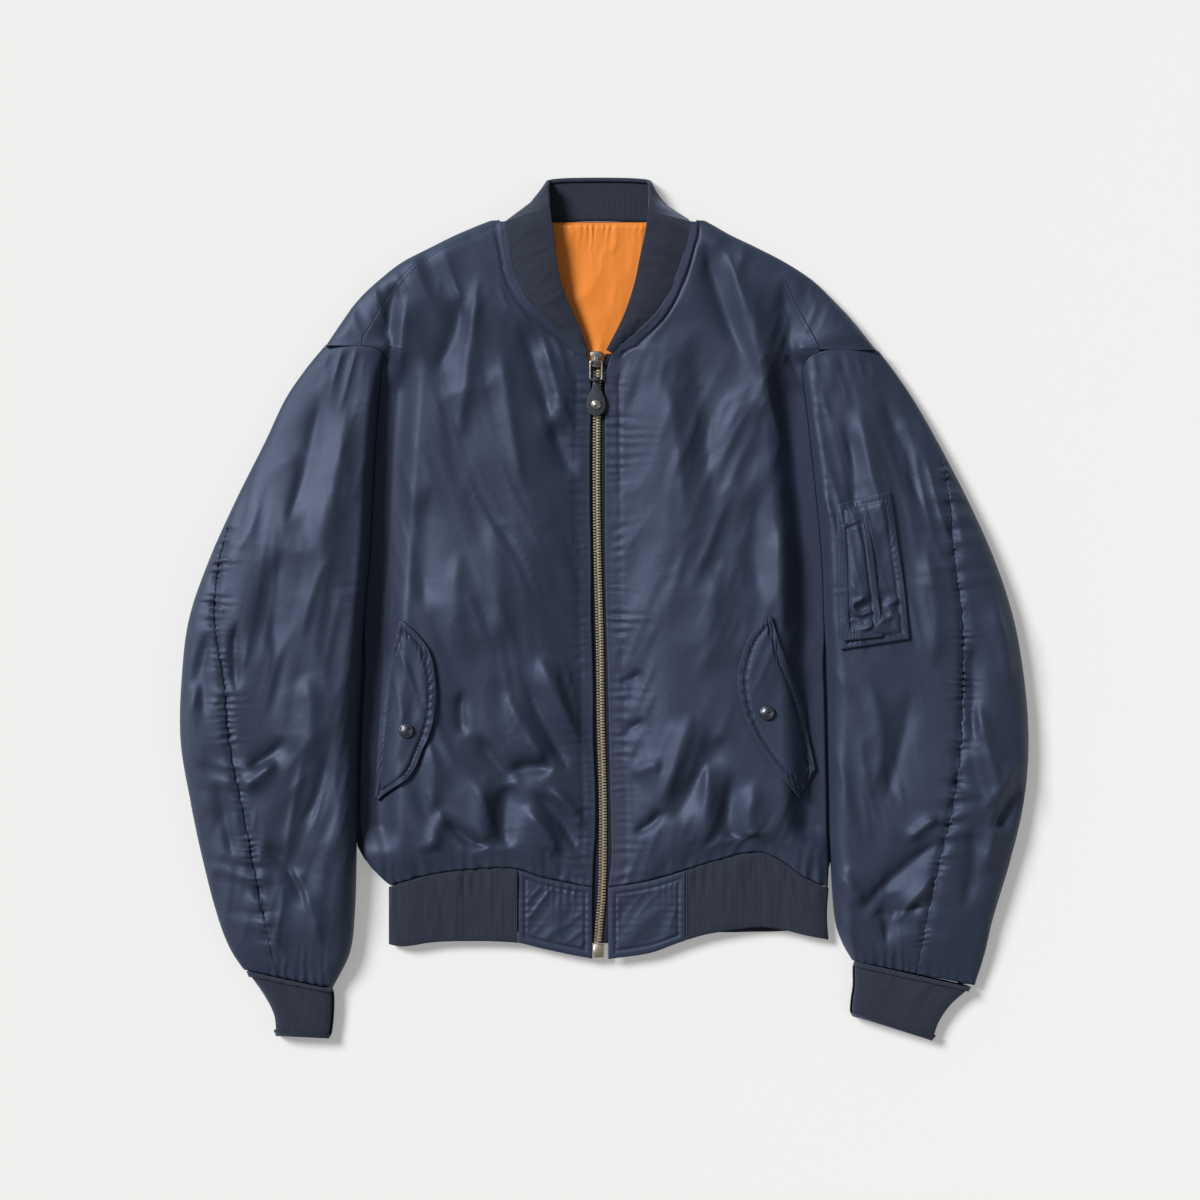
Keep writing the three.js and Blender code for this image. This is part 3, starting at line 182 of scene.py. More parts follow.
HEM = {
    "right": (
        (-206, -265, -319), (-192, -260, -321), (-162, -252, -317), (-117, -247, -316),
        (-84, -247, -317), (-58, -255, -323), (-30, -261, -329), (-8, -265, -333)),
    "left": (
        (3, -265, -333), (44, -258, -327), (72, -250, -317), (100, -241, -309),
        (143, -231, -303), (164, -237, -304), (190, -255, -310), (215, -266, -315)),
}

# Places along Y, widths over which forms rise or fade, and heights above the floor
HEM_BOTTOM = -262
HEM_FADE = 60
FOLDS_LOW = -268
FOLDS_LOW_FADE = 40
FRONT_TOP = 368
FRONT_TOP_FADE = 30
WAIST = -205
WAIST_FADE = 30
ARMPIT = -8
ARMPIT_FADE = 55
PLACKET_TOP = 228
PLACKET_FADE = 12
GATHERS_TOP = 235
GATHERS_FADE = 20
BINDING_LOW = 236
VALLEY_TOP = 250
VALLEY_FADE = 45
ZIP_DIP_TOP = 290
ZIP_DIP_FADE = 60
VALLEY_FLAT = 17
VALLEY_REACH = 26
EDGE_REACH = 62
SHOULDER_REACH = 40
NOSE_REACH = 15
ZIP_REACH = 62
ZIP_CALM = 30
PLACKET = 13
PLACKET_INNER = 9
BINDING = 9.5
CROSS_SEAM = 12
CROSS_SEAM_CALM = 16
ARMHOLE_BEND = 0.4
LAY = 2.8
VALLEY = 5
NOSE = 10
ZIP_TOP = 13


def read(names, table, at):
    """Columns of a table at values of its first column, smoothly between rows."""
    rows = np.array(sorted(table), float)
    keys = rows[:, 0]
    at = np.clip(np.asarray(at, float), keys[0], keys[-1])
    i = np.clip(np.searchsorted(keys, at, side="right") - 1, 0, len(keys) - 2)
    before, after = np.maximum(i - 1, 0), np.minimum(i + 2, len(keys) - 1)
    span = keys[i + 1] - keys[i]
    t = (at - keys[i]) / span
    values = {}
    for n, name in enumerate(names):
        column = rows[:, n]
        start = (column[i + 1] - column[before]) / (keys[i + 1] - keys[before]) * span
        end = (column[after] - column[i]) / (keys[after] - keys[i]) * span
        values[name] = ((2 * t**3 - 3 * t**2 + 1) * column[i] + (t**3 - 2 * t**2 + t) * start
                        + (3 * t**2 - 2 * t**3) * column[i + 1] + (t**3 - t**2) * end)
    return values


def smooth(t):
    """A step from 0 to 1 with soft ends."""
    t = np.clip(t, 0, 1)
    return t * t * (3 - 2 * t)


def quarter(t):
    """A rise from 0 to 1 on a quarter of a circle, steep at first."""
    return np.sqrt(np.maximum(0, 1 - (1 - np.clip(t, 0, 1))**2))


def mix(a, b, t):
    return a + (b - a) * t


def parted(y):
    """Share by which body and sleeve are two separate tubes, below the armpit."""
    return smooth((ARMPIT - y) / ARMPIT_FADE)


def free(y):
    """Share by which the body's side stands clear of the sleeve, near the waist."""
    return smooth((WAIST - y) / WAIST_FADE)


LATTICE = 64
LATTICE_PLACE = (31.7, 17.3)


def ripple(x, y, size, seed):
    """Soft even noise from -1 to 1 with lumps of the given size."""
    lattice = np.random.RandomState(seed).rand(LATTICE, LATTICE)
    u, v = np.asarray(x, float) / size + LATTICE_PLACE[0], np.asarray(y, float) / size + LATTICE_PLACE[1]
    i, j = np.floor(u).astype(int), np.floor(v).astype(int)
    fu, fv = u - i, v - j
    fu, fv = fu**3 * (fu * (6 * fu - 15) + 10), fv**3 * (fv * (6 * fv - 15) + 10)
    corner = lambda a, b: lattice[(i + a) % LATTICE, (j + b) % LATTICE]
    low = mix(corner(0, 0), corner(1, 0), fu)
    high = mix(corner(0, 1), corner(1, 1), fu)
    return 2 * mix(low, high, fv) - 1


def crests(x, y, size, seed, blunt=0.004):
    """Noise with sharp crests, like thin creased cloth."""
    return 1 - 2 * np.sqrt(ripple(x, y, size, seed)**2 + blunt)


def crumple(x, y, seed, turn, stretch=3.2):
    """Soft wrinkles of lightly padded nylon, longer one way than across, with some sharp crests."""
    c, s = math.cos(turn), math.sin(turn)
    u, v = (x * c + y * s) / stretch, -x * s + y * c
    bend = 11 * ripple(u, v, 40, seed + 5)
    broad = ripple(u + bend, v + bend, 44, seed)
    folded = crests(u + bend, v - bend, 26, seed + 1)
    fine = crests(u - bend, v + bend, 12, seed + 2, 0.006)
    streaks = crests(u / 2.2 + bend / 3, v + bend, 12, seed + 9)
    folded_share = smooth(0.5 + 1.1 * ripple(x, y, 75, seed + 3))
    fine_share = smooth(0.45 + 1.2 * ripple(x, y, 50, seed + 7))
    streak_share = smooth(0.4 + 1.3 * ripple(x, y, 60, seed + 11))
    return (1.7 * broad + folded_share * 1.9 * folded + fine_share * 0.8 * fine
            + streak_share * 1.1 * streaks)


# Folds pressed into the cloth: three places on the line, half width, rise above the cloth
FOLDS = (
    (-118, 322, -128, 240, -137, 160, 8, 4), (-134, 300, -142, 262, -163, 220, 9, -4),
    (-78, 275, -62, 222, -50, 180, 9, -5), (-50, 180, -40, 150, -26, 122, 8, -4),
    (-98, 250, -88, 175, -76, 105, 9, 3), (-60, 262, -46, 210, -34, 165, 8, 2.5),
    (-195, 312, -205, 270, -208, 200, 8, -5), (-186, 300, -192, 250, -194, 190, 9, 3),
    (-133, -74, -136, -100, -131, -122, 4, -4), (-122, -118, -101, -147, -84, -166, 6, -5),
    (-84, -162, -96, -196, -90, -240, 8, -7), (-108, -150, -116, -196, -108, -236, 11, 4),
    (-92, -158, -70, -150, -48, -154, 6, -6), (-64, -40, -40, -91, -16, -142, 8, 5),
    (-78, -60, -56, -110, -30, -160, 7, -4), (-96, -76, -72, -120, -56, -148, 8, 4),
    (-70, -172, -42, -200, -22, -238, 6, -5), (-56, -168, -30, -190, -16, -216, 5, 3.5),
    (-78, -186, -56, -212, -44, -240, 7, 4), (-157, -196, -128, -222, -110, -236, 6, -5),
    (-150, -186, -160, -215, -166, -240, 7, 3.5), (-170, -120, -160, -160, -168, -200, 8, 3),
    (95, 352, 108, 300, 134, 235, 9, -5), (112, 348, 145, 250, 177, 122, 8, 5),
    (169, 316, 176, 260, 190, 205, 8, -6), (128, 300, 150, 240, 160, 180, 8, 3),
    (82, 264, 96, 180, 106, 85, 15, -4), (60, 225, 70, 150, 78, 80, 12, 2.5),
    (62, -206, 90, -158, 112, -118, 10, -6), (46, -196, 70, -140, 84, -96, 9, 4),
    (92, -120, 98, -180, 92, -236, 9, 3.5), (124, -150, 118, -196, 126, -236, 8, -5),
    (144, -160, 138, -200, 144, -234, 8, 4), (27, -214, 44, -204, 60, -188, 5, -4),
    (14, -70, 26, -66, 38, -60, 4, -3), (16, -118, 28, -112, 40, -104, 4, -3),
    (24, -160, 40, -150, 56, -148, 6, 3),
    (96, 45, 104, -10, 88, -72, 16, 3.5), (-110, 95, -100, 20, -106, -45, 16, 3),
    (-160, 120, -172, 60, -168, -10, 14, -3), (-135, 60, -140, 0, -126, -50, 12, 2.5),
    (150, 130, 142, 60, 150, 0, 14, -3), (170, 90, 165, 30, 172, -20, 10, 2.5),
    (-268, 206, -282, 140, -302, 75, 10, -4), (-240, 200, -252, 130, -258, 60, 11, 3),
    (-262, 120, -268, 40, -290, -35, 12, 3.5), (-300, 60, -312, 10, -310, -50, 10, -3),
    (-308, -143, -326, -158, -342, -172, 7, 5), (-298, -120, -318, -140, -338, -150, 7, -3.5),
    (-322, -220, -296, -250, -280, -290, 8, -5), (-302, -238, -280, -275, -266, -332, 8, 4),
    (-330, -270, -318, -300, -300, -330, 7, 3), (-262, -130, -270, -175, -290, -205, 10, -3),
    (-285, -60, -275, -100, -280, -150, 12, 3), (-345, -10, -350, -45, -346, -80, 5, -4),
    (262, 206, 282, 150, 302, 88, 10, -4), (240, 196, 252, 130, 270, 55, 10, 3.5),
    (226, 180, 236, 130, 232, 84, 9, -3), (300, 60, 312, 0, 308, -60, 11, 3),
    (318, -219, 280, -249, 244, -285, 7, -5), (315, -247, 292, -275, 272, -300, 6, 4),
    (307, -279, 280, -286, 250, -291, 6, -4), (316, -196, 300, -206, 284, -220, 6, 4),
    (218, -250, 232, -262, 247, -282, 8, 4), (262, -262, 270, -290, 262, -325, 8, -4),
    (246, -60, 262, -120, 250, -180, 9, 2), (290, -70, 280, -130, 262, -190, 9, -2.5),
    (347, -30, 349, -80, 347, -132, 6, -6), (346, -68, 362, -134, 376, -175, 6, 5),
    (365, 20, 378, -30, 384, -80, 8, 3), (345, -200, 350, -240, 338, -290, 8, -3.5),
    (396, -166, 384, -192, 364, -210, 7, -7), (392, -140, 376, -168, 356, -190, 8, 4),
    (372, -170, 368, -215, 356, -255, 7, 3), (-385, -60, -392, -110, -386, -160, 7, 3),
    (-372, -20, -380, -60, -376, -110, 7, -3), (-366, -160, -358, -200, -350, -240, 7, -3),
)


FOLD_STEPS = 8
FOLD_STRENGTH = 2.2
DEEPEST = 9.0
MAP_REACH = 480


def through(a, b, c, t):
    """A curve from a to c that passes b halfway."""
    return (1 - t)**2 * a + 2 * t * (1 - t) * (2 * b - (a + c) / 2) + t**2 * c


def fold_map():
    """Height that the pressed folds add, on a grid of whole millimetres; each fades at its ends."""
    whole = np.arange(-MAP_REACH, MAP_REACH + 1.0)
    x, y = np.meshgrid(whole, whole)
    rise = np.zeros(x.shape)
    steps = np.linspace(0, 1, FOLD_STEPS + 1)
    for x0, y0, x1, y1, x2, y2, half, height in FOLDS:
        lx, ly = through(x0, x1, x2, steps), through(y0, y1, y2, steps)
        margin = 4 * half
        rows, columns = (
            slice(int(line.min() - margin) + MAP_REACH, int(line.max() + margin) + MAP_REACH)
            for line in (ly, lx))
        px, py = x[rows, columns], y[rows, columns]
        best = np.full(px.shape, np.inf)
        place = np.zeros(px.shape)
        for k in range(FOLD_STEPS):
            ax, ay = lx[k + 1] - lx[k], ly[k + 1] - ly[k]
            t = np.clip(((px - lx[k]) * ax + (py - ly[k]) * ay) / (ax * ax + ay * ay), 0, 1)
            away = np.hypot(px - lx[k] - t * ax, py - ly[k] - t * ay)
            closer = away < best
            best = np.where(closer, away, best)
            place = np.where(closer, (k + t) / FOLD_STEPS, place)
        wide = half * (0.75 + 0.5 * np.sin(math.pi * place)) * (1 + 0.25 * ripple(px, py, 30, 3))
        fade = smooth(place / 0.3) * smooth((1 - place) / 0.3)
        profile = np.exp(-np.sqrt((best / wide)**2 * 2.2 + 0.12) + 0.35)
        rise[rows, columns] += FOLD_STRENGTH * height * fade * profile
    return DEEPEST * np.tanh(rise / DEEPEST)


FOLD_MAP = fold_map()


def fold_rise(x, y):
    """Height that the pressed folds add at any place."""
    u, v = np.asarray(x, float) + MAP_REACH, np.asarray(y, float) + MAP_REACH
    i, j = np.floor(u).astype(int), np.floor(v).astype(int)
    low = mix(FOLD_MAP[j, i], FOLD_MAP[j, i + 1], u - i)
    high = mix(FOLD_MAP[j + 1, i], FOLD_MAP[j + 1, i + 1], u - i)
    return mix(low, high, v - j)


def shoulder_y(hand):
    """Height in the pattern from which a front reaches over the shoulder."""
    return SLEEVE[hand][0][2] + 0.3


def side_x(hand, y):
    """x of a front's armhole or side seam."""
    y = np.asarray(y, float)
    y_in, x_in, y_out, x_out = SLEEVE[hand][0][:4]
    climb = (y - y_in) / (y_out - y_in)
    across = ARMHOLE_BEND * (1 - np.sqrt(np.clip(1 - climb * climb, 0, 1)))
    turning = x_in + across * (x_out - x_in)
    side = read(FRONT_NAMES, FRONT[hand], y)["side"]
    armhole = read(SLEEVE_NAMES, SLEEVE[hand], y)["x_in"]
    below = mix(armhole, side, parted(y))
    return np.where(climb >= 1, side, np.where(climb <= 0, below, turning))


def valley_depth(y):
    """Share of the valley between body and sleeve, which runs out at the shoulder."""
    return smooth((VALLEY_TOP - y) / VALLEY_FADE)


def inner_rise(distance, y):
    """Rise of a front from its side seam: out of the valley, or round where the side is free."""
    valley = mix(1, smooth((distance - VALLEY_FLAT) / VALLEY_REACH), valley_depth(y))
    return mix(valley, quarter(distance / EDGE_REACH), free(y))


def groove(away, depth, half):
    """The line that a row of stitches presses into padded cloth."""
    return depth * np.exp(-(away / half)**2)


def pucker(along, away, pitch, reach, rise, seed):
    """Small gathers that run off a seam, uneven in pitch, slant, depth and length."""
    along, away = np.broadcast_arrays(np.asarray(along, float), np.asarray(away, float))
    still = 0 * along
    jitter = (2.6 * ripple(along, still, pitch * 2.3, seed)
              + 1.2 * ripple(along, away, pitch * 1.2, seed + 3))
    slant = 0.9 * ripple(along, still, pitch * 4, seed + 4) * away / pitch
    depth = np.maximum(0.1, 0.55 + 0.9 * ripple(along, still, pitch * 2.7, seed + 1))
    length = reach * np.maximum(0.3, 0.8 + 1.1 * ripple(along, still, pitch * 1.1, seed + 2))
    wave = np.cos(2 * math.pi * along / pitch + jitter + slant)
    return rise * depth * wave * np.exp(-np.abs(away) / np.maximum(3, length))


def neck_edge(hand, y):
    """x of a front's inner edge, and how much longer the edge is than its height in Y."""
    before, here, after = (read(FRONT_NAMES, FRONT[hand], y + step)["inner"] for step in (-2, 0, 2))
    return here, np.hypot(1, (after - before) / 4)


def binding(hand, x, y):
    """The narrow stitched-down strip of the front that runs beside the collar's seam."""
    edge, longer = neck_edge(hand, y)
    away = np.abs(x - edge) / longer
    strip = 1.1 * smooth((BINDING - away) / 2) - groove(away - BINDING, 1.5, 1.3)
    return strip * smooth((y - BINDING_LOW) / 8)


def seam_calm(hand, x, y):
    """Fades the folds out beside the seam that crosses the top of the arm."""
    y_in, x_in, y_out = SLEEVE[hand][0][:3]
    beyond = smooth((np.abs(x) - abs(x_in) + CROSS_SEAM) / CROSS_SEAM)
    return 1 - beyond * (1 - smooth(np.abs(y - y_out) / CROSS_SEAM_CALM))


def front_height(hand, x, y, plain=False):
    """Height of a front's outer face, and of the back's where it comes over the shoulder."""
    row = read(FRONT_NAMES, FRONT[hand], y)
    over = y > shoulder_y(hand)
    from_zip = np.abs(x - row["inner"])
    base = np.where(over, NOSE, mix(VALLEY, NOSE, free(y)))
    edge = read(WRAP_NAMES, WRAP[hand], y)["edge"]
    from_side = np.abs(x - side_x(hand, y))
    shape = np.where(over, quarter(np.abs(x - edge) / SHOULDER_REACH), inner_rise(from_side, y))
    dip = ((row["crown"] - ZIP_TOP) * (1 - smooth(from_zip / ZIP_REACH))
           * smooth((ZIP_DIP_TOP - y) / ZIP_DIP_FADE))
    by_seam = seam_calm(hand, x, y)
    calm = (smooth((y - FOLDS_LOW) / FOLDS_LOW_FADE) * smooth((FRONT_TOP - y) / FRONT_TOP_FADE)
            * by_seam)
    height = base + (row["crown"] - base - dip) * shape
    folds = fold_rise(x, y) * np.minimum(1, shape * 1.3)
    height = height + folds * smooth(from_zip / ZIP_CALM) * calm
    if plain:
        return height
    seed, turn = (11, 1.9) if hand == "right" else (47, 1.2)
    on_panel = np.minimum(1, shape * 1.4)
    gathered = smooth((GATHERS_TOP - y) / GATHERS_FADE)
    below_slider = smooth((PLACKET_TOP - y) / PLACKET_FADE)
    height += crumple(x, y, seed, turn) * on_panel * smooth(from_zip / 25) * by_seam
    height += pucker(y, from_zip - PLACKET, 10.5, 9, 1.2, seed + 7) * gathered
    height += pucker(y, from_zip - PLACKET_INNER, 6.5, 5, 0.9, seed + 8) * below_slider
    height -= groove(from_zip - PLACKET, 1.6, 1.5) * below_slider
    height += binding(hand, x, y) * on_panel
    return height


# Where the model stands: the rivet of the puller marks the pattern's place in the frame.
SLIDER_X = -7.5
RIVET_Y = 194
rivet_low, rivet_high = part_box("zip_rivet")
SHIFT = np.array([
    (rivet_low[0] + rivet_high[0]) * 500 - SLIDER_X,
    (rivet_low[1] + rivet_high[1]) * 500 - RIVET_Y, 0])


def run_of(line):
    """Distance along a line of points."""
    return np.concatenate([[0], np.cumsum(np.linalg.norm(np.diff(line, axis=0), axis=1))])


def along(line, count, start, stop, gap, crowd, end_gap=None):
    """Points along a stretch of a line, closer together toward its ends."""
    reach = run_of(line)
    t = np.linspace(0, 1, count)
    share = t - crowd * np.sin(2 * math.pi * t) / (2 * math.pi)
    last = reach[stop] - (gap if end_gap is None else end_gap)
    at = mix(reach[start] + gap, last, share)
    return np.stack([np.interp(at, reach, line[:, axis]) for axis in range(3)], axis=1)


def face_out(grid, facing):
    """Unit normals of a grid of points, turned the way it faces at its middle."""
    down, right = np.gradient(grid, axis=0), np.gradient(grid, axis=1)
    normal = np.cross(right, down)
    normal /= np.maximum(np.linalg.norm(normal, axis=2, keepdims=True), 1e-9)
    middle = normal[normal.shape[0] // 2, normal.shape[1] // 2]
    return normal if np.dot(middle, facing) > 0 else -normal


def border(table):
    """The outermost entries of a table, once round."""
    return np.concatenate([table[0, :], table[1:, -1], table[-1, -2::-1], table[-2:0:-1, 0]])


def piece_of(name, points, faces, paint, slot, body="jacket", solid=None, rounded=True):
    """A piece from points in pattern millimetres, in place of a solid where one is named."""
    mesh = bpy.data.meshes.new(name)
    mesh.from_pydata(((np.array(points) + SHIFT) / 1000).tolist(), [], faces)
    if rounded:
        mesh.shade_smooth()
    mesh.materials.append(paint)
    piece = added(name, mesh)
    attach(piece, body)
    if solid:
        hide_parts(solid)
    return piece


TURNED_IN = 3


def cloth(name, grid, paint, solid, slot, facing=(0, 0, 1), thick=1.8, floor=0.0, uv=None):
    """A panel as one sheet whose edges are turned under, in place of its solid."""
    normal = face_out(grid, facing)
    high, wide = grid.shape[:2]
    index = np.arange(high * wide).reshape(high, wide)
    deep = np.clip(np.arange(high), TURNED_IN, high - 1 - TURNED_IN)
    side = np.clip(np.arange(wide), TURNED_IN, wide - 1 - TURNED_IN)
    ring, inner_ring = border(index), border(index[deep][:, side])
    flat_points, flat_normals = grid.reshape(-1, 3), normal.reshape(-1, 3)
    points = [flat_points]
    for path in (ring, inner_ring):
        under = flat_points[path] - flat_normals[path] * thick
        under[:, 2] = np.maximum(under[:, 2], floor)
        points.append(under)
    quads = np.stack([index[:-1, :-1], index[:-1, 1:], index[1:, 1:], index[1:, :-1]], axis=-1)
    quads = quads.reshape(-1, 4)
    count = len(ring)
    k = np.arange(count)
    n = (k + 1) % count
    first, second = high * wide + k, high * wide + count + k
    first_next, second_next = high * wide + n, high * wide + count + n
    rim = np.stack([ring[k], ring[n], first_next, first], axis=-1)
    hem = np.stack([first, first_next, second_next, second], axis=-1)
    middle = high // 2, wide // 2
    right = grid[middle[0], middle[1] + 1] - grid[middle]
    down = grid[middle[0] + 1, middle[1]] - grid[middle]
    if np.dot(np.cross(right, down), normal[middle]) < 0:
        quads = quads[:, ::-1]
    else:
        rim, hem = rim[:, ::-1], hem[:, ::-1]
    faces = np.concatenate([quads, rim, hem])
    piece = piece_of(name, np.concatenate(points), faces.tolist(), paint, slot, solid=solid)
    if uv is not None:
        flat_uv = uv.reshape(-1, 2)
        flat_uv = np.concatenate([flat_uv, flat_uv[ring], flat_uv[inner_ring]])
        layer = piece.data.uv_layers.new(name="threads")
        layer.data.foreach_set("uv", flat_uv[faces.ravel()].astype(np.float32).ravel() / 1000)


def new_group(name, inputs, outputs):
    """An empty shader group with named inputs and outputs, where four numbers mean a colour."""
    group = bpy.data.node_groups.new(name, "ShaderNodeTree")
    for label, value in inputs.items():
        kind = "NodeSocketColor" if isinstance(value, tuple) else "NodeSocketFloat"
        socket = group.interface.new_socket(name=label, in_out="INPUT", socket_type=kind)
        socket.default_value = value
    for label in outputs:
        kind = "NodeSocketColor" if label == "Color" else "NodeSocketFloat"
        group.interface.new_socket(name=label, in_out="OUTPUT", socket_type=kind)
    return group, group.nodes.new("NodeGroupInput").outputs, group.nodes.new("NodeGroupOutput")


def wire(tree, target, wires):
    """Links sockets to the named inputs of a node."""
    for key, source in wires.items():
        tree.links.new(source, target.inputs[key])


def node(tree, kind, values=None, wires=None, **settings):
    """Adds a shader node, with its settings, the values of its inputs and what is wired to them."""
    made = tree.nodes.new(kind)
    for key, value in settings.items():
        setattr(made, key, value)
    for key, value in (values or {}).items():
        made.inputs[key].default_value = value
    wire(tree, made, wires or {})
    return made


# Nylon: a fine twill with a satin face. The group gives the colour's slow changes and the height
# of the threads and of the small crinkles that lie between the folds.
weave, weave_in, weave_out = new_group(
    "woven_face", {"Crinkle": 0.5, "Base": (0.02, 0.03, 0.06, 1), "Light": (0.04, 0.05, 0.1, 1)},
    ("Color", "Height", "Roughness"))
place = node(weave, "ShaderNodeTexCoord").outputs["Object"]
slow = node(
    weave, "ShaderNodeTexNoise", {"Scale": 9.0, "Detail": 3.0, "Roughness": 0.55},
    {"Vector": place}).outputs["Fac"]
small = node(
    weave, "ShaderNodeTexNoise", {"Scale": 130.0, "Detail": 3.5, "Roughness": 0.55, "Distortion": 0.6},
    {"Vector": place})
twill = node(
    weave, "ShaderNodeTexWave", {"Scale": 900.0, "Distortion": 0.3, "Detail": 1.0}, {"Vector": place},
    wave_type="BANDS", bands_direction="DIAGONAL")
tone = node(
    weave, "ShaderNodeMix", wires={0: slow, 6: weave_in["Base"], 7: weave_in["Light"]}, data_type="RGBA")
crinkle = node(
    weave, "ShaderNodeMath", wires={0: small.outputs["Fac"], 1: weave_in["Crinkle"]},
    operation="MULTIPLY")
both = node(
    weave, "ShaderNodeMath", {1: 0.035}, {0: twill.outputs["Fac"], 2: crinkle.outputs[0]},
    operation="MULTIPLY_ADD")
gloss = node(
    weave, "ShaderNodeMapRange", {"From Min": 0.3, "From Max": 0.7, "To Min": 0.52, "To Max": 0.62},
    {"Value": slow})
wire(weave, weave_out, {
    "Color": tone.outputs[2], "Height": both.outputs[0], "Roughness": gloss.outputs[0]})


def woven_paint(name, base, light, crinkle, sheen, specular, tint=(0.6, 0.7, 1, 1)):
    """A woven cloth, whose tone changes slowly between base and light."""
    paint, tree, shader = new_paint(name, {
        "Sheen Weight": sheen, "Sheen Roughness": 0.45, "Sheen Tint": tint,
        "Specular IOR Level": specular, "Specular Tint": tint})
    face = node(
        tree, "ShaderNodeGroup", {"Base": (*base, 1), "Light": (*light, 1), "Crinkle": crinkle},
        node_tree=weave)
    bump = node(
        tree, "ShaderNodeBump", {"Strength": 0.55, "Distance": 0.0009},
        {"Height": face.outputs["Height"]})
    wire(tree, shader, {
        "Base Color": face.outputs["Color"], "Roughness": face.outputs["Roughness"],
        "Normal": bump.outputs["Normal"]})
    return paint


nylon = woven_paint("navy_nylon", (0.0195, 0.0275, 0.0495), (0.0255, 0.0355, 0.0625), 0.5, 0.05, 0.62)


def front_line(hand, y_row, fine=90):
    """The line across a front, and on over the shoulder to the floor; and where the front ends."""
    row = read(FRONT_NAMES, FRONT[hand], y_row)
    side = float(side_x(hand, y_row))
    t = np.sin(math.pi / 2 * np.linspace(0, 1, fine))
    x = mix(float(row["inner"]), side, t)
    from_hem = y_row - HEM_BOTTOM
    shift = read(HEM_NAMES, HEM[hand], x)["seam"] - HEM_BOTTOM
    y = y_row + (shift + 0.6) * (1 - smooth(from_hem / HEM_FADE))
    z = front_height(hand, x, np.full_like(x, y_row))
    if from_hem < HEM_FADE:
        seed = 5 if hand == "right" else 9
        z = z + pucker(x, np.full_like(x, from_hem), 12, 20, 1.3, seed) * smooth(np.abs(x) / 60)
    line = np.stack([x, y, z], axis=1)
    if y_row < ARMPIT and line[-1, 2] - LAY > 0.5:
        line = np.concatenate([line, [[line[-1, 0], line[-1, 1], LAY]]])
    seam = len(line) - 1
    if y_row < shoulder_y(hand) - 1.3:
        return line, seam
    edge = float(read(WRAP_NAMES, WRAP[hand], y_row)["edge"])
    inward = 1 if hand == "right" else -1
    t = np.sin(math.pi / 2 * np.linspace(0, 1, 40)[1:])
    x = mix(side, edge, t)
    over = np.stack([x, np.full_like(x, y_row), front_height(hand, x, np.full_like(x, y_row))], axis=1)
    turn = math.pi / 2 * np.linspace(0, 1, 20)[1:]
    x = edge + inward * NOSE_REACH * (1 - np.cos(turn))
    round_edge = np.stack([x, np.full_like(x, y_row), over[-1, 2] * (1 - np.sin(turn))], axis=1)
    return np.concatenate([line, over, round_edge]), seam


for hand in ("right", "left"):
    y_in, y_out = SLEEVE[hand][0][0], SLEEVE[hand][0][2]
    heights = np.concatenate([
        np.linspace(HEM_BOTTOM, y_in, 236), np.linspace(y_in, y_out, 12)[1:],
        np.linspace(shoulder_y(hand) + 0.2, FRONT_TOP, 58)])
    rows = []
    for y in heights:
        line, seam = front_line(hand, y)
        rows.append(along(line, 104, 0, seam, 0.1, 0.35))
    cloth(f"front_{hand}_panel", np.array(rows), nylon, f"front_{hand}", "nylon", floor=LAY - 0.3)


# The sleeves
# Two panels of the same nylon each: the upper one ends at a gathered seam that runs down near the
# outer edge, and the under one goes from there round the fold and back along the floor.
SLEEVE_FOLD = 10
SLEEVE_FOLD_LOW = 16
SHOULDER_TOP = 190
CUFF_CALM = -345
CUFF_CALM_FADE = 50


def sleeve_height(hand, row, x, y, from_inner, from_outer, plain=False):
    """Height of a sleeve's outer face on its upper side."""
    base = mix(VALLEY, NOSE, parted(y))
    low = mix(base, NOSE, from_inner / (from_inner + from_outer))
    inner_fold = quarter(from_inner / mix(SLEEVE_FOLD, SLEEVE_FOLD_LOW, parted(y)))
    outer_reach = mix(EDGE_REACH, SHOULDER_REACH, smooth((y - SHOULDER_TOP) / 50))
    shape = mix(1, inner_fold, valley_depth(y)) * quarter(from_outer / outer_reach)
    room = (row["crown"] - low) * shape
    edge = np.minimum(1, from_outer / 14)
    from_seam = x - row["x_seam"]
    inside = smooth((np.abs(row["x_seam"] - row["x_out"]) - 2) / 8)
    calm = smooth((y - CUFF_CALM) / CUFF_CALM_FADE) * seam_calm(hand, x, y)
    folds = fold_rise(x, y) * np.minimum(1, shape * 1.3)
    height = low + room + (folds - inside * groove(from_seam, 2.6, 4.5)) * edge * calm
    if plain:
        return height
    seed, turn = (71, 1.35) if hand == "right" else (29, 1.8)
    height = height + crumple(x, y, seed, turn) * np.minimum(1, shape * 1.5) * calm
    outward = from_seam * np.mean(row["x_out"]) > 0
    gathers = pucker(y, from_seam, 6.5, 5, 3.6, seed + 9)
    gathers = gathers + pucker(y, from_seam, 21, np.where(outward, 24, 12), 2.2, seed + 10)
    height += inside * gathers * np.minimum(1, from_outer / 8) * calm
    by_body = pucker(y, from_inner, 13, 12, 1.1, seed + 12)
    height += by_body * smooth((from_inner - 2) / 6) * smooth((y - ARMPIT) / 30)
    return height


def sleeve_y(row, across):
    """Y on a row across the sleeve; near the shoulder the row bends as the armhole does."""
    bent = quarter(across / ARMHOLE_BEND)
    return mix(row["y_in"], row["y_out"], mix(across, bent, smooth((row["y_in"] - SHOULDER_TOP) / 40)))


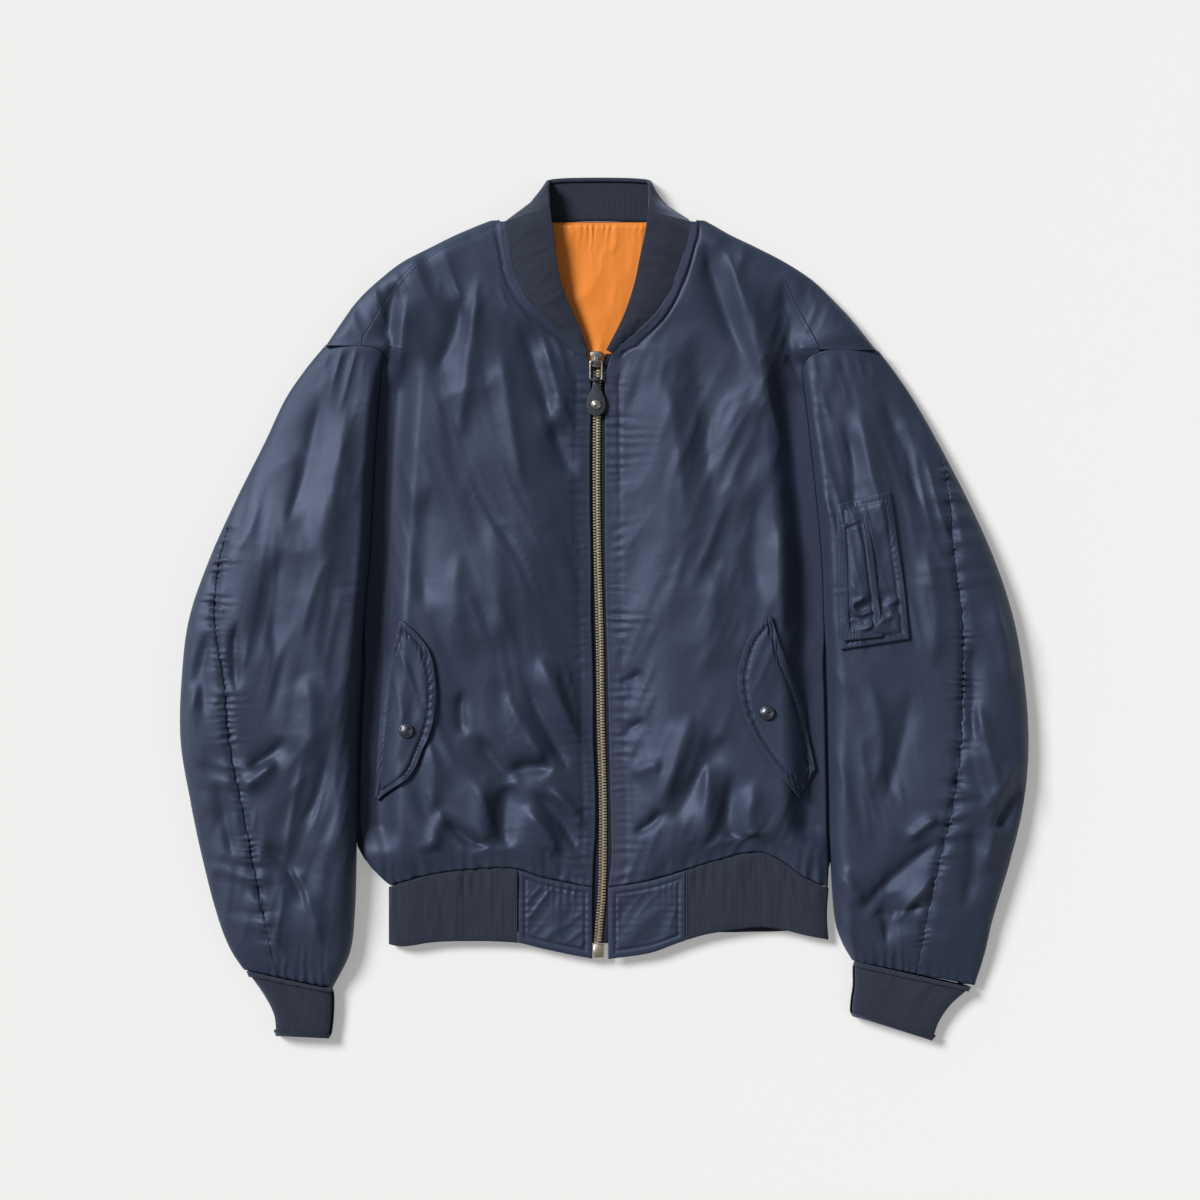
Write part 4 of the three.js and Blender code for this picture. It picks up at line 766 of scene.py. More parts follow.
def sleeve_line(hand, row, fine=150):
    """The upper cloth's line across a sleeve from its inner seam, and on round the fold to the floor."""
    across = (1 - np.cos(math.pi * np.linspace(0, 1, fine))) / 2
    x = mix(row["x_in"], row["x_out"], across)
    y = sleeve_y(row, across)
    width = abs(row["x_out"] - row["x_in"])
    z = sleeve_height(hand, row, x, y, across * width, (1 - across) * width)
    from_cuff = y - mix(row["cuff_in"], row["cuff_out"], across)
    z = z + pucker(x, from_cuff, 9, 16, 1.2, 83) * quarter((1 - across) * width / 20)
    line = np.stack([x, y, z], axis=1)
    tail = mix(VALLEY, LAY, float(parted(row["y_in"])))
    if line[0, 2] - tail > 0.5:
        line = np.concatenate([[[row["x_in"], row["y_in"], tail]], line])
    seam = len(line) - 1
    if abs(row["x_seam"] - row["x_out"]) >= 1:
        half = len(line) // 2
        seam = half + int(np.argmin(np.abs(line[half:, 0] - row["x_seam"])))
    inward = math.copysign(1, row["x_in"] - row["x_out"])
    turn = math.pi / 2 * np.linspace(0, 1, 24)[1:]
    x = row["x_out"] + inward * NOSE_REACH * (1 - np.cos(turn))
    fold = np.stack([x, np.full_like(x, row["y_out"]), NOSE * (1 - np.sin(turn))], axis=1)
    x = np.linspace(x[-1], row["x_in"], 48)[1:]
    y = sleeve_y(row, (x - row["x_in"]) / (row["x_out"] - row["x_in"]))
    below = np.stack([x, y, np.zeros_like(x)], axis=1)
    return np.concatenate([line, fold, below]), seam


def sleeve_row(hand, y_out):
    """The sleeve's sizes where its outer edge is at a height."""
    names = ("y_out", "y_in", "x_in", "x_out", "x_seam", "crown")
    table = [(r[2], r[0], r[1], r[3], r[4], r[5]) for r in SLEEVE[hand]]
    row = {key: float(value) for key, value in read(names, table, y_out).items()}
    row["cuff_in"], row["cuff_out"] = SLEEVE[hand][-1][0], SLEEVE[hand][-1][2]
    return row


for hand in ("right", "left"):
    first, last = SLEEVE[hand][0][2], SLEEVE[hand][-1][2]
    places = np.concatenate([
        [first], np.linspace(first - 1.5, first - 22, 14), np.linspace(first - 24, last, 290)])
    upper, under = [], []
    for k, y_out in enumerate(places):
        row = sleeve_row(hand, y_out)
        inset = -0.4 if k == 0 else (0.1 if k == len(places) - 1 else 0)
        row["y_in"] += inset
        row["y_out"] += inset
        line, seam = sleeve_line(hand, row)
        gap = 0.5 if row["y_in"] > SHOULDER_TOP else 0.1
        upper.append(along(line, 84, 0, seam, gap, 0.3, 0.1))
        under.append(along(line, 64, seam, len(line) - 1, 0.1, 0.3, gap))
    cloth(f"sleeve_{hand}_upper_panel", np.array(upper), nylon, f"sleeve_{hand}_top", "nylon",
          floor=LAY - 0.3)
    cloth(f"sleeve_{hand}_under_panel", np.array(under), nylon, f"sleeve_{hand}_under", "nylon",
          facing=(0, 0, -1))


# The back
# One panel of the same nylon, flat on the floor; it comes forward over both shoulders and ends
# there at the shoulder seams.
BACK_HEM = -264
NECK_SEAM = 369.5
UNDER_SLEEVE = 5.0
UNDER_SLEEVE_RISE = 0.9
# Rows lie closest where the back comes forward over the shoulders
heights = np.concatenate([
    np.linspace(BACK_HEM + 0.1, 225, 40), np.linspace(229, 243, 8), np.linspace(244, 253, 28),
    np.linspace(254, NECK_SEAM - 0.1, 62)])
rows = []
for y in heights:
    halves = []
    for hand in ("right", "left"):
        grown = (y - shoulder_y(hand) + 1.1) / 0.5
        if grown <= 0:
            edge = float(side_x(hand, y))
            under = UNDER_SLEEVE * math.copysign(1, edge) * float(smooth((y + 250) / 20))
            halves.append(np.array([[edge + under, y, UNDER_SLEEVE_RISE * abs(under) / UNDER_SLEEVE]]))
        else:
            line, seam = front_line(hand, y)
            skip = round((1 - min(1, grown)) * (len(line) - 1 - seam))
            halves.append(line[seam + skip:])
    whole = np.concatenate([halves[0], halves[1][::-1]])
    rows.append(along(whole, 150, 0, len(whole) - 1, 0.2, 0.8))
cloth("back_panel", np.array(rows), nylon, "back", "nylon", facing=(0, 0, -1))


# The ribs
# Collar, hem band and cuffs are double knitted rib, matte and a little lighter than the nylon. They
# are sewn on stretched, so that they pull the nylon beside them into gathers.
knit, knit_in, knit_out = new_group(
    "knitted_rib", {"Base": (0.02, 0.03, 0.05, 1)}, ("Color", "Height"))
threads = node(knit, "ShaderNodeUVMap", uv_map="threads").outputs["UV"]
ribs = node(
    knit, "ShaderNodeTexWave", {"Scale": 190.0, "Distortion": 0.5, "Detail": 1.0, "Detail Scale": 0.6},
    {"Vector": threads}, wave_type="BANDS", bands_direction="X").outputs["Fac"]
loops = node(
    knit, "ShaderNodeTexWave", {"Scale": 190.0, "Distortion": 1.0}, {"Vector": threads},
    wave_type="BANDS", bands_direction="Y")
fuzz = node(knit, "ShaderNodeTexNoise", {"Scale": 900.0, "Detail": 2.0}, {"Vector": threads})
rib_part = node(
    knit, "ShaderNodeMath", {1: 0.25}, {0: loops.outputs["Fac"], 2: ribs}, operation="MULTIPLY_ADD")
knit_height = node(
    knit, "ShaderNodeMath", {1: 0.2}, {0: fuzz.outputs["Fac"], 2: rib_part.outputs[0]},
    operation="MULTIPLY_ADD")
# Painted shade and light: the rib colour is darkened in the grooves between the ribs and lightened on
# their crests, following the same waves as the bump.
painted_rib_shade = node(
    knit, "ShaderNodeMapRange", {"From Min": 0.0, "From Max": 1.0, "To Min": 0.86, "To Max": 1.07},
    {"Value": ribs})
knit_color_and_painted_shade = node(
    knit, "ShaderNodeMix", {0: 1.0}, {6: knit_in["Base"], 7: painted_rib_shade.outputs[0]}, data_type="RGBA",
    blend_type="MULTIPLY")
wire(knit, knit_out, {"Color": knit_color_and_painted_shade.outputs[2], "Height": knit_height.outputs[0]})

rib, tree, shader = new_paint("navy_rib", {
    "Roughness": 0.8, "Specular IOR Level": 0.25, "Sheen Weight": 0.35, "Sheen Roughness": 0.5,
    "Sheen Tint": (0.6, 0.7, 1, 1)})
face = node(tree, "ShaderNodeGroup", {"Base": (0.0225, 0.0285, 0.047, 1)}, node_tree=knit)
bump = node(
    tree, "ShaderNodeBump", {"Strength": 0.6, "Distance": 0.0008}, {"Height": face.outputs["Height"]})
wire(tree, shader, {"Base Color": face.outputs["Color"], "Normal": bump.outputs["Normal"]})

RIB_STEPS = 620
RIB_NOSE = 7.5
RIB_TURN = 8
RIB_TOP = 15
RIB_LOW = 13
BACK_HEM_EDGE = -308
RIB_SIDE = {"right": -205, "left": 214}
TAB = {"right": -82, "left": 78}


def band_between(first, second, count, rows):
    """A band between two lines: its points, its threads' places along and across, and its width."""
    a, b = along(first, count, 0, len(first) - 1, 0, 0), along(second, count, 0, len(second) - 1, 0, 0)
    t = np.linspace(0, 1, rows)
    grid = mix(a[None], b[None], t[:, None, None])
    width = float(np.mean(np.linalg.norm(b - a, axis=1)))
    s, w = np.meshgrid((run_of(a) + run_of(b)) / 2, t * width)
    return grid, s, w, width


def hem_line():
    """Both edges of the hem rib, from the right tab round the back to the left tab."""
    seams, edges = [], []
    for hand in ("right", "left"):
        side = RIB_SIDE[hand]
        x = mix(TAB[hand], side, np.sin(math.pi / 2 * np.linspace(0, 1, 60)))
        row = read(HEM_NAMES, HEM[hand], x)
        rise = quarter(np.abs(x - side) / 26)
        seam = np.stack([x, row["seam"] - 0.15, mix(RIB_NOSE, RIB_TOP, rise)], axis=1)
        edge = np.stack([x, row["edge"], mix(RIB_NOSE, RIB_LOW, rise)], axis=1)
        t = np.linspace(0, 1, 12)[1:]
        x = side - math.copysign(1, side) * RIB_TURN * (1 - np.cos(math.pi / 2 * t))
        low = RIB_NOSE * (1 - np.sin(math.pi / 2 * t))
        seam_turn = np.stack([x, mix(row["seam"][-1], BACK_HEM, t) - 0.15, low], axis=1)
        edge_turn = np.stack([x, mix(row["edge"][-1], BACK_HEM_EDGE, t), low], axis=1)
        seams.append(np.concatenate([seam, seam_turn]))
        edges.append(np.concatenate([edge, edge_turn]))
    return [np.concatenate([pair[0], pair[1][::-1]]) for pair in (seams, edges)]


seam_edge, free_edge = hem_line()
grid, s, w, width = band_between(seam_edge, free_edge, RIB_STEPS, 34)
fade = 0.25 + 0.75 * np.exp(-w / 20)
creases = 1.5 * ripple(s, w * 0.25, 11, 61) + 0.9 * ripple(s, w * 0.3, 5, 62)
edge_soft = smooth(w / 5) * smooth((width - w) / 5)
lift = (0.9 + creases * fade) * edge_soft + 0.6 * ripple(s, w, 40, 63)
on_top = smooth((grid[:, :, 2] - 5) / 4)
grid[:, :, 2] += lift * on_top
grid[-1, :, 1] += 0.9 * ripple(s[-1], s[-1] * 0, 30, 64)
cloth("hem_band", grid, rib, "hem_rib", "rib", facing=(0, 0, -1), thick=2.2, uv=np.stack([s, w], axis=-1))

# The cuffs: short knitted tubes pressed flat, narrower toward the hand
CUFF_LONG = 48
CUFF_NAMES = ("at", "x_in", "y_in", "x_out", "y_out", "high")
CUFF = {
    "right": (
        (0, -259, -360.5, -340, -344, 17), (0.35, -259, -378, -324, -366, 16),
        (0.7, -260, -393, -314, -386, 15), (1, -262, -407, -312, -405, 14)),
    "left": (
        (0, 238, -335, 350, -359, 17), (0.35, 239, -356, 331, -375, 16),
        (0.7, 237, -372, 319, -392, 15), (1, 236, -386, 313, -409, 14)),
}


def blunt(value, power):
    """A power of a value that keeps its sign."""
    return np.sign(value) * np.abs(value)**power


for hand in ("right", "left"):
    t = np.linspace(0, 1, 44)
    row = read(CUFF_NAMES, CUFF[hand], t)
    size = {key: value[:, None] for key, value in row.items()}
    turn = np.linspace(0, 2 * math.pi, 220)
    across = 0.5 - 0.5 * blunt(np.cos(turn), 0.6)
    rise = 1 + blunt(np.sin(turn), 0.4)
    x = mix(size["x_in"], size["x_out"], across[None])
    y = mix(size["y_in"], size["y_out"], across[None]) - 0.3
    z = size["high"] / 2 * rise[None]
    drawn_in = 1 - 0.05 * np.exp(-t / 0.06) - 0.06 * np.clip((t - 0.88) / 0.12, 0, 1)**2.5
    middle = x.mean(axis=1, keepdims=True)
    x = middle + (x - middle) * drawn_in[:, None]
    z = size["high"] / 2 + (z - size["high"] / 2) * drawn_in[:, None]
    around = np.concatenate([[0], np.cumsum(np.hypot(np.diff(x[20]), np.diff(z[20])))])
    s, w = np.meshgrid(around, t * CUFF_LONG)
    crease = 1.5 * ripple(s * 0.8, w * 0.35, 11, 91) + 0.8 * ripple(s, w * 0.5, 6, 92)
    lift = (crease * (0.35 + 0.65 * np.exp(-w / 16)) * smooth(w / 4)
            * smooth((CUFF_LONG - w) / 5))
    z = z + np.where(rise[None] > 1.2, lift, 0) * np.sin(math.pi * across)[None]
    grid = np.stack([x, y, np.maximum(z, 0)], axis=-1)
    cloth(f"cuff_{hand}_rib", grid, rib, f"cuff_{hand}", "rib", thick=2.2, uv=np.stack([s, w], axis=-1))


# The collar: it lies on the floor behind the neck with its inner face up, folds at both sides and
# comes forward over the neck edges. Rows run from the front end to the fold.
COLLAR = {
    "right": (
        (242, -15, 246, 16), (252, -21, 262, 20), (266, -28, 278, 22.5),
        (281, -35, 294, 24.5), (298, -41, 312, 26), (317, -45, 332, 27),
        (341, -48, 358, 27), (358, -51, 379, 25), (368, -53, 396, 21)),
    "left": (
        (242, 2, 246, 16), (250, 10, 261, 20), (263, 18, 277, 22.5),
        (279, 25, 296, 24.5), (296, 30, 314, 26), (315, 34, 334, 27),
        (338, 39, 358, 27), (358, 42, 379, 25), (368, 44, 396, 21)),
}
COLLAR_FOLD = {"right": (-92, 370.5, -55, 404), "left": (81, 370.5, 45, 404)}
COLLAR_GAP = 0.9
COLLAR_BACK_EDGE = 411.5
COLLAR_ROUND = 7
COLLAR_SEAM_HIGH = 9.5
COLLAR_EDGE_HIGH = 10.5


def curve_through(points, count):
    """A smooth line through points, evenly spaced."""
    points = np.array(points, float)
    at = run_of(points)
    fine = np.linspace(0, at[-1], count * 4)
    table = [(key, *point) for key, point in zip(at, points)]
    values = read(("at", "x", "y", "z"), table, fine)
    return along(np.stack([values["x"], values["y"], values["z"]], axis=1), count, 0, count * 4 - 1, 0, 0)


def collar_side(hand):
    """Places on the seam and on the free edge, from the front end to the floor behind the fold."""
    seams, frees = [], []
    away = -1 if hand == "right" else 1
    for y_seam, x_free, y_free, high in COLLAR[hand]:
        neck = float(read(FRONT_NAMES, FRONT[hand], y_seam)["inner"])
        place = np.array([neck]), np.array([float(y_seam)])
        level = float(front_height(hand, *place, plain=True)[0])
        seams.append((neck + away * COLLAR_GAP, y_seam, level + 0.9))
        frees.append((x_free, y_free, high))
    x_seam, y_seam, x_free, y_free = COLLAR_FOLD[hand]
    for part in (0.5, 0, -0.5, -0.85, -1):
        angle = math.pi / 2 * part
        out = COLLAR_ROUND * (math.cos(angle) - 1) * 0.7
        lift = 1 + math.sin(angle)
        seams.append((x_seam + away * out, y_seam + out, COLLAR_SEAM_HIGH * lift))
        frees.append((
            x_free + away * out, y_free + 3 * (1 - math.sin(angle)), COLLAR_EDGE_HIGH * lift))
    return seams, frees


right_seam, right_free = collar_side("right")
left_seam, left_free = collar_side("left")
back_seam, back_free = [], []
for t in np.linspace(0, 1, 8)[1:-1]:
    settle = math.sin(math.pi * t)
    a, b = right_seam[-1], left_seam[-1]
    back_seam.append((mix(a[0], b[0], t), mix(a[1], NECK_SEAM + 0.6, settle), 0))
    a, b = right_free[-1], left_free[-1]
    back_free.append((mix(a[0], b[0], t), mix(a[1], COLLAR_BACK_EDGE, settle**0.5), 0))
seam_edge = curve_through(right_seam + back_seam + left_seam[::-1], RIB_STEPS)
free_edge = curve_through(right_free + back_free + left_free[::-1], RIB_STEPS)
grid, s, w, width = band_between(seam_edge, free_edge, RIB_STEPS, 36)
over = smooth((grid[:, :, 2] - 12) / 6)
rolled = np.sin(math.pi * np.clip(w / width, 0, 1))
creases = 0.7 * ripple(s, w * 0.35, 12, 41) + 0.35 * ripple(s, w * 0.5, 5, 42)
lift = (2.2 * rolled + creases * smooth(w / 4) * smooth((width - w) / 4)) * over
grid[:, :, 2] = np.maximum(grid[:, :, 2] + lift, 0)
bowed = 3.0 * rolled * np.exp(-((grid[:, :, 2] - 9) / 8)**2) * smooth((grid[:, :, 1] - 360) / 12)
grid[:, :, 0] += bowed * np.clip((grid[:, :, 0] + 5) / 60, -1, 1) * 0.7
grid[:, :, 1] += bowed * 0.7
cloth("collar_band", grid, rib, "collar_rib", "rib", facing=(0, 0, -1), thick=2.4,
      uv=np.stack([s, w], axis=-1))


# The hem tabs
# Two short panels of the nylon that end the rib on either side of the zip, topstitched all round.
TAB_WIDE = 72
TAB_LONG = 66
STITCHED_IN = 7
for hand in ("right", "left"):
    inner = float(read(FRONT_NAMES, FRONT[hand], HEM_BOTTOM)["inner"])
    end = TAB[hand] - math.copysign(0.3, TAB[hand])
    t, k = np.linspace(0, 1, 70), np.linspace(0, 1, 60)
    x = mix(inner, end, t)
    row = read(HEM_NAMES, HEM[hand], x)
    y = mix(row["seam"][None] - 0.15, row["edge"][None], k[:, None])
    z = mix(mix(ZIP_TOP, RIB_TOP, t)[None], RIB_LOW, k[:, None])
    x = np.broadcast_to(x, y.shape)
    rim = np.sin(math.pi * t)[None]**0.4 * np.sin(math.pi * k)[:, None]**0.4
    from_side = (np.minimum(t, 1 - t) * TAB_WIDE)[None]
    from_edge = np.minimum(from_side, (np.minimum(k, 1 - k) * TAB_LONG)[:, None])
    inside = smooth((from_edge - 5) / 8)
    z = z + (1.6 + 1.0 * crumple(x, y, 15 if hand == "right" else 18, 0.9) * inside) * rim
    z = z - groove(from_edge - STITCHED_IN, 1.4, 1.4)
    z = z + pucker(x, (k * TAB_LONG)[:, None] - STITCHED_IN, 7, 9, 0.9, 21) * rim
    z = z + pucker(y, from_side - STITCHED_IN, 7, 7, 0.9, 22) * rim
    cloth(f"hem_tab_{hand}_panel", np.stack([x, y, z], axis=-1), nylon, f"hem_tab_{hand}", "nylon")


# The lining
# Orange satin nylon inside the back, which shows in the neck below the collar; it is sewn to the
# collar with a little fullness and hangs in shallow folds.
LINING_LOW = 225
orange = woven_paint(
    "orange_lining", (0.80, 0.225, 0.03), (0.88, 0.28, 0.05), 0.35, 0.05, 0.3, tint=(1, 0.8, 0.6, 1))
t, k = np.linspace(0, 1, 150), np.linspace(0, 1, 130)
reach = mix(70, 60, k)[:, None]
x = mix(-reach - 4, reach - 6, t[None])
y = np.broadcast_to(mix(NECK_SEAM - 1, LINING_LOW, k)[:, None], x.shape)
fullness = pucker(x, NECK_SEAM - y, 6, 9, 1.6, 33) + 0.6 * crumple(x, y, 36, 1.5, 2.4)
hollow = (smooth((NECK_SEAM - y) / 6) * smooth((y - LINING_LOW - 1) / 6)
          * smooth(t / 0.05)[None] * smooth((1 - t) / 0.05)[None])
z = 4.6 + (5.5 + fullness) * hollow
cloth("neck_lining", np.stack([x, y, z], axis=-1), orange, "lining_back", "lining", thick=1.2)


# Flaps and pockets
# Patches of the nylon that lie on the panels, with topstitched edges.
FLAP = {
    "right": {
        "seam": ((-192, -12), (-204, -52), (-210, -86), (-213, -124), (-216, -158), (-218, -180)),
        "free": (
            (-190, -10), (-166, -38), (-159, -72), (-161, -104), (-171, -134), (-184, -158), (-214, -182)),
        "snap": (-187, -115)},
    "left": {
        "seam": ((158, -6), (171, -51), (184, -86), (192, -116), (198, -138), (201, -152)),
        "free": (
            (155, -5), (136, -28), (127, -59), (129, -88), (140, -118), (160, -150), (184, -180)),
        "snap": (154, -98)},
}
SLEEVE_POCKET = {
    "low": ((219, 98), (221, 52), (222, 6), (224, -38)),
    "high": ((268, 111), (276, 66), (283, 20), (288, -28))}
PEN_POCKET = {
    "low": ((221, 78), (223, 50), (224, 10), (226, -30)),
    "high": ((247, 88), (252, 60), (258, 12), (262, -26))}
PATCH_LIFT = 1.0
FLAP_THICK = 2.0
FLAP_OPEN = 1.4
ON_FLAP = PATCH_LIFT + FLAP_THICK + FLAP_OPEN


def on_sleeve(x, y, plain=False):
    """Height of the left sleeve's upper panel."""
    row = read(SLEEVE_NAMES, SLEEVE["left"], y)
    from_inner, from_outer = np.maximum(0, x - row["x_in"]), np.maximum(0, row["x_out"] - x)
    return sleeve_height("left", row, x, y, from_inner, from_outer, plain)


def lifted(height, x, y, lift):
    """Places on a panel moved out from it, square to its main form."""
    step = 5.0
    slope_x = (height(x + step, y, True) - height(x - step, y, True)) / (2 * step)
    slope_y = (height(x, y + step, True) - height(x, y - step, True)) / (2 * step)
    normal = np.stack([-slope_x, -slope_y, np.ones_like(slope_x)], axis=-1)
    normal /= np.linalg.norm(normal, axis=-1, keepdims=True)
    return np.stack([x, y, height(x, y)], axis=-1) + normal * np.asarray(lift)[..., None]


def outline(places, t):
    """Points on a smooth line through places, read from 0 to 1."""
    places = np.array(places, float)
    table = [(key, *place) for key, place in enumerate(places)]
    values = read(("at", "x", "y"), table, np.asarray(t) * (len(places) - 1))
    return np.stack([values["x"], values["y"]], axis=-1)


def patch(name, solid, height, low, high, lift, seed, pulls=0.9, slack=0):
    """A patch between two lines on a panel, domed a little, with a flat stitched rim."""
    t, k = np.linspace(0, 1, 60), np.linspace(0, 1, 84)
    a, b = outline(low, k), outline(high, k)
    place = mix(a[:, None], b[:, None], t[None, :, None])
    x, y = place[..., 0], place[..., 1]
    wide = np.linalg.norm(b - a, axis=1)[:, None]
    length = np.sum(np.linalg.norm(np.diff(b, axis=0), axis=1))
    from_side = np.minimum(t[None] * wide, (1 - t)[None] * wide)
    rim = np.minimum(from_side, (np.minimum(k, 1 - k) * length)[:, None])
    wrinkle = 0.7 * crumple(x, y, seed, 1.2) * smooth((rim - 3) / 8)
    sagging = 1.5 * crests(x + y * 0.7, (y - x * 0.4) * 1.3, 17, seed + 6, 0.01)
    wrinkle = wrinkle + slack * smooth((k[:, None] - 0.5) / 0.2) * smooth((rim - 4) / 6) * sagging
    around = np.arctan2(y - y.mean(), (x - x.mean()) * 2.5) * 55
    wave = np.cos(2 * math.pi * around / 6.5 + 3 * ripple(x, y, 15, seed + 4))
    pulled = pulls * wave * np.exp(-((rim - STITCHED_IN + 1) / 3.5)**2)
    domed = lift + 0.7 * smooth((rim - STITCHED_IN) / 6)
    pressed = groove(rim - STITCHED_IN, 1.3, 1.4)
    grid = lifted(height, x, y, domed + wrinkle - pressed + pulled)
    cloth(name, grid, nylon, solid, "nylon", thick=1.9)


for hand in ("right", "left"):
    on_front = lambda x, y, plain=False, hand=hand: front_height(hand, x, y, plain)
    patch(f"flap_{hand}_panel", f"flap_{hand}", on_front, FLAP[hand]["seam"], FLAP[hand]["free"],
          ON_FLAP, 51)
patch("sleeve_pocket_panel", "sleeve_pocket", on_sleeve, SLEEVE_POCKET["low"], SLEEVE_POCKET["high"],
      PATCH_LIFT + FLAP_THICK, 54, pulls=0.35, slack=1.5)
patch("pen_pocket_panel", "pen_pocket", on_sleeve, PEN_POCKET["low"], PEN_POCKET["high"],
      PATCH_LIFT + 2 * FLAP_THICK + 0.6, 57, pulls=0.3, slack=2.0)


# Metal and leather
# Cast zinc with a worn antique finish: brownish in the hollows, paler where it is rubbed. The
# puller is matt grey leather.
worn, worn_in, worn_out = new_group(
    "worn_metal", {"Dark": (0.1, 0.09, 0.07, 1), "Rubbed": (0.4, 0.35, 0.26, 1)}, ("Color", "Roughness"))
place = node(worn, "ShaderNodeTexCoord").outputs["Object"]
spots = node(
    worn, "ShaderNodeTexNoise", {"Scale": 420.0, "Detail": 4.0, "Roughness": 0.6}, {"Vector": place})
rubbed = node(
    worn, "ShaderNodeMapRange", {"From Min": 0.38, "From Max": 0.62},
    {"Value": spots.outputs["Fac"]}).outputs[0]
worn_color = node(
    worn, "ShaderNodeMix", wires={0: rubbed, 6: worn_in["Dark"], 7: worn_in["Rubbed"]}, data_type="RGBA")
worn_rough = node(
    worn, "ShaderNodeMapRange", {"From Min": 0.0, "From Max": 1.0, "To Min": 0.5, "To Max": 0.28},
    {"Value": rubbed})
wire(worn, worn_out, {"Color": worn_color.outputs[2], "Roughness": worn_rough.outputs[0]})


def metal_paint(name, dark, rubbed):
    """Worn metal, dark in the hollows and brighter where it is rubbed."""
    paint, tree, shader = new_paint(name, {"Metallic": 1.0})
    face = node(tree, "ShaderNodeGroup", {"Dark": (*dark, 1), "Rubbed": (*rubbed, 1)}, node_tree=worn)
    wire(tree, shader, {"Base Color": face.outputs["Color"], "Roughness": face.outputs["Roughness"]})
    return paint


metal = metal_paint("antique_metal", (0.16, 0.155, 0.145), (0.62, 0.6, 0.56))
brass = metal_paint("antique_brass", (0.42, 0.36, 0.24), (0.85, 0.77, 0.58))
gunmetal = metal_paint("gunmetal", (0.05, 0.055, 0.07), (0.22, 0.23, 0.26))
leather = woven_paint("grey_leather", (0.030, 0.031, 0.034), (0.05, 0.051, 0.055), 1.0, 0.0, 0.4)


def stacked(rings, closed_ends=True):
    """Points and faces of a body made of like rings of points, one above the other."""
    rings = np.array(rings)
    levels, count = rings.shape[:2]
    faces = []
    for level in range(levels - 1):
        a, b = level * count, (level + 1) * count
        faces += [(a + k, a + (k + 1) % count, b + (k + 1) % count, b + k) for k in range(count)]
    if closed_ends:
        faces.append(tuple(range(count))[::-1])
        faces.append(tuple(range((levels - 1) * count, levels * count)))
    return rings.reshape(-1, 3).tolist(), faces


def looped(rings):
    """Points and faces of a body whose last ring meets its first."""
    points, faces = stacked(rings + [rings[0]], closed_ends=False)
    total = len(points) - len(rings[0])
    return points[:total], [tuple(index % total for index in face) for face in faces]


def joined(bodies):
    """Points and faces of several bodies as one."""
    points, faces = [], []
    for body_points, body_faces in bodies:
        faces += [tuple(index + len(points) for index in face) for face in body_faces]
        points += body_points
    return points, faces


def turned(profile, at, count=40):
    """A turned body standing on +Z, from radii and heights."""
    angle = np.linspace(0, 2 * math.pi, count, endpoint=False)
    return stacked([np.stack([
        at[0] + radius * np.cos(angle), at[1] + radius * np.sin(angle),
        np.full(count, at[2] + height)], axis=1) for radius, height in profile])


def plate(edge, low, high, round_off):
    """A flat body with rounded edges over an outline that turns anticlockwise."""
    edge = np.array(edge, float)
    run = np.roll(edge, -1, axis=0) - np.roll(edge, 1, axis=0)
    out = np.stack([run[:, 1], -run[:, 0]], axis=1)
    out /= np.maximum(np.linalg.norm(out, axis=1, keepdims=True), 1e-9)
    steps = ((1, 0), (0.3, 0.3), (0, 1))
    levels = [(inset, low + rise * round_off) for inset, rise in steps]
    levels += [(inset, high - rise * round_off) for inset, rise in steps[::-1]]
    rings = []
    for inset, level in levels:
        flat = edge - out * inset * round_off
        rings.append(np.concatenate([flat, np.full((len(edge), 1), level)], axis=1))
    return stacked(rings)


# Snap caps: domed discs with a low rim, of darker metal, riveted through the flaps
CAP = ((5.8, -1.2), (6.8, -0.7), (7, -0.1), (6.6, 0.6), (5.6, 1.1), (5.3, 0.9), (4.8, 1.2),
       (3.4, 1.9), (1.8, 2.3), (0.3, 2.4))
for hand in ("right", "left"):
    x, y = FLAP[hand]["snap"]
    level = float(front_height(hand, np.array([x]), np.array([y]))[0]) + ON_FLAP + 2.2
    piece_of(f"snap_{hand}_cap", *turned(CAP, (x, y, level)), gunmetal, "hardware", solid=f"snap_{hand}")


# Topstitching: short runs of thread a shade lighter than the nylon, along the front edges, beside
# the collar, in front of the shoulder seams and round the flaps
STITCH = 2.4
STITCH_STEP = 3.4
THREAD_HALF = 0.35
RING = 4
STITCH_POINTS = 4 * RING
thread_paint = woven_paint("sewing_thread", (0.028, 0.036, 0.062), (0.035, 0.045, 0.074), 0.2, 0.1, 0.3)


def stitches(name, height, path, lift=0.35):
    """A run of stitches lying on a panel along a flat path."""
    path = np.array(path, float)
    reach = run_of(path)
    starts = np.arange(1.0, reach[-1] - STITCH, STITCH_STEP)
    first, last = [np.stack([np.interp(at, reach, path[:, axis]) for axis in (0, 1)], axis=1)
                   for at in (starts, starts + STITCH)]
    run = last - first
    run /= np.linalg.norm(run, axis=1, keepdims=True)
    side = np.stack([run[:, 1], -run[:, 0]], axis=1) * THREAD_HALF
    points = []
    for place, tall in ((first, -0.4), (first + run * 0.5, 0.1), (last - run * 0.5, 0.1), (last, -0.4)):
        level = height(place[:, 0], place[:, 1]) + lift + tall
        for aside, up in ((1, -0.5), (1, 0), (-1, 0), (-1, -0.5)):
            points.append(np.column_stack([place + aside * side, level + up]))
    points = np.stack(points, axis=1)
    faces = []
    for start in range(0, STITCH_POINTS * len(starts), STITCH_POINTS):
        for a in range(start, start + STITCH_POINTS - RING, RING):
            faces += [(a + i, a + (i + 1) % RING, a + RING + (i + 1) % RING, a + RING + i)
                      for i in range(RING)]
        faces.append(tuple(range(start + RING - 1, start - 1, -1)))
        faces.append(tuple(range(start + STITCH_POINTS - RING, start + STITCH_POINTS)))
    piece_of(name, points.reshape(-1, 3), faces, thread_paint, "nylon", rounded=False)


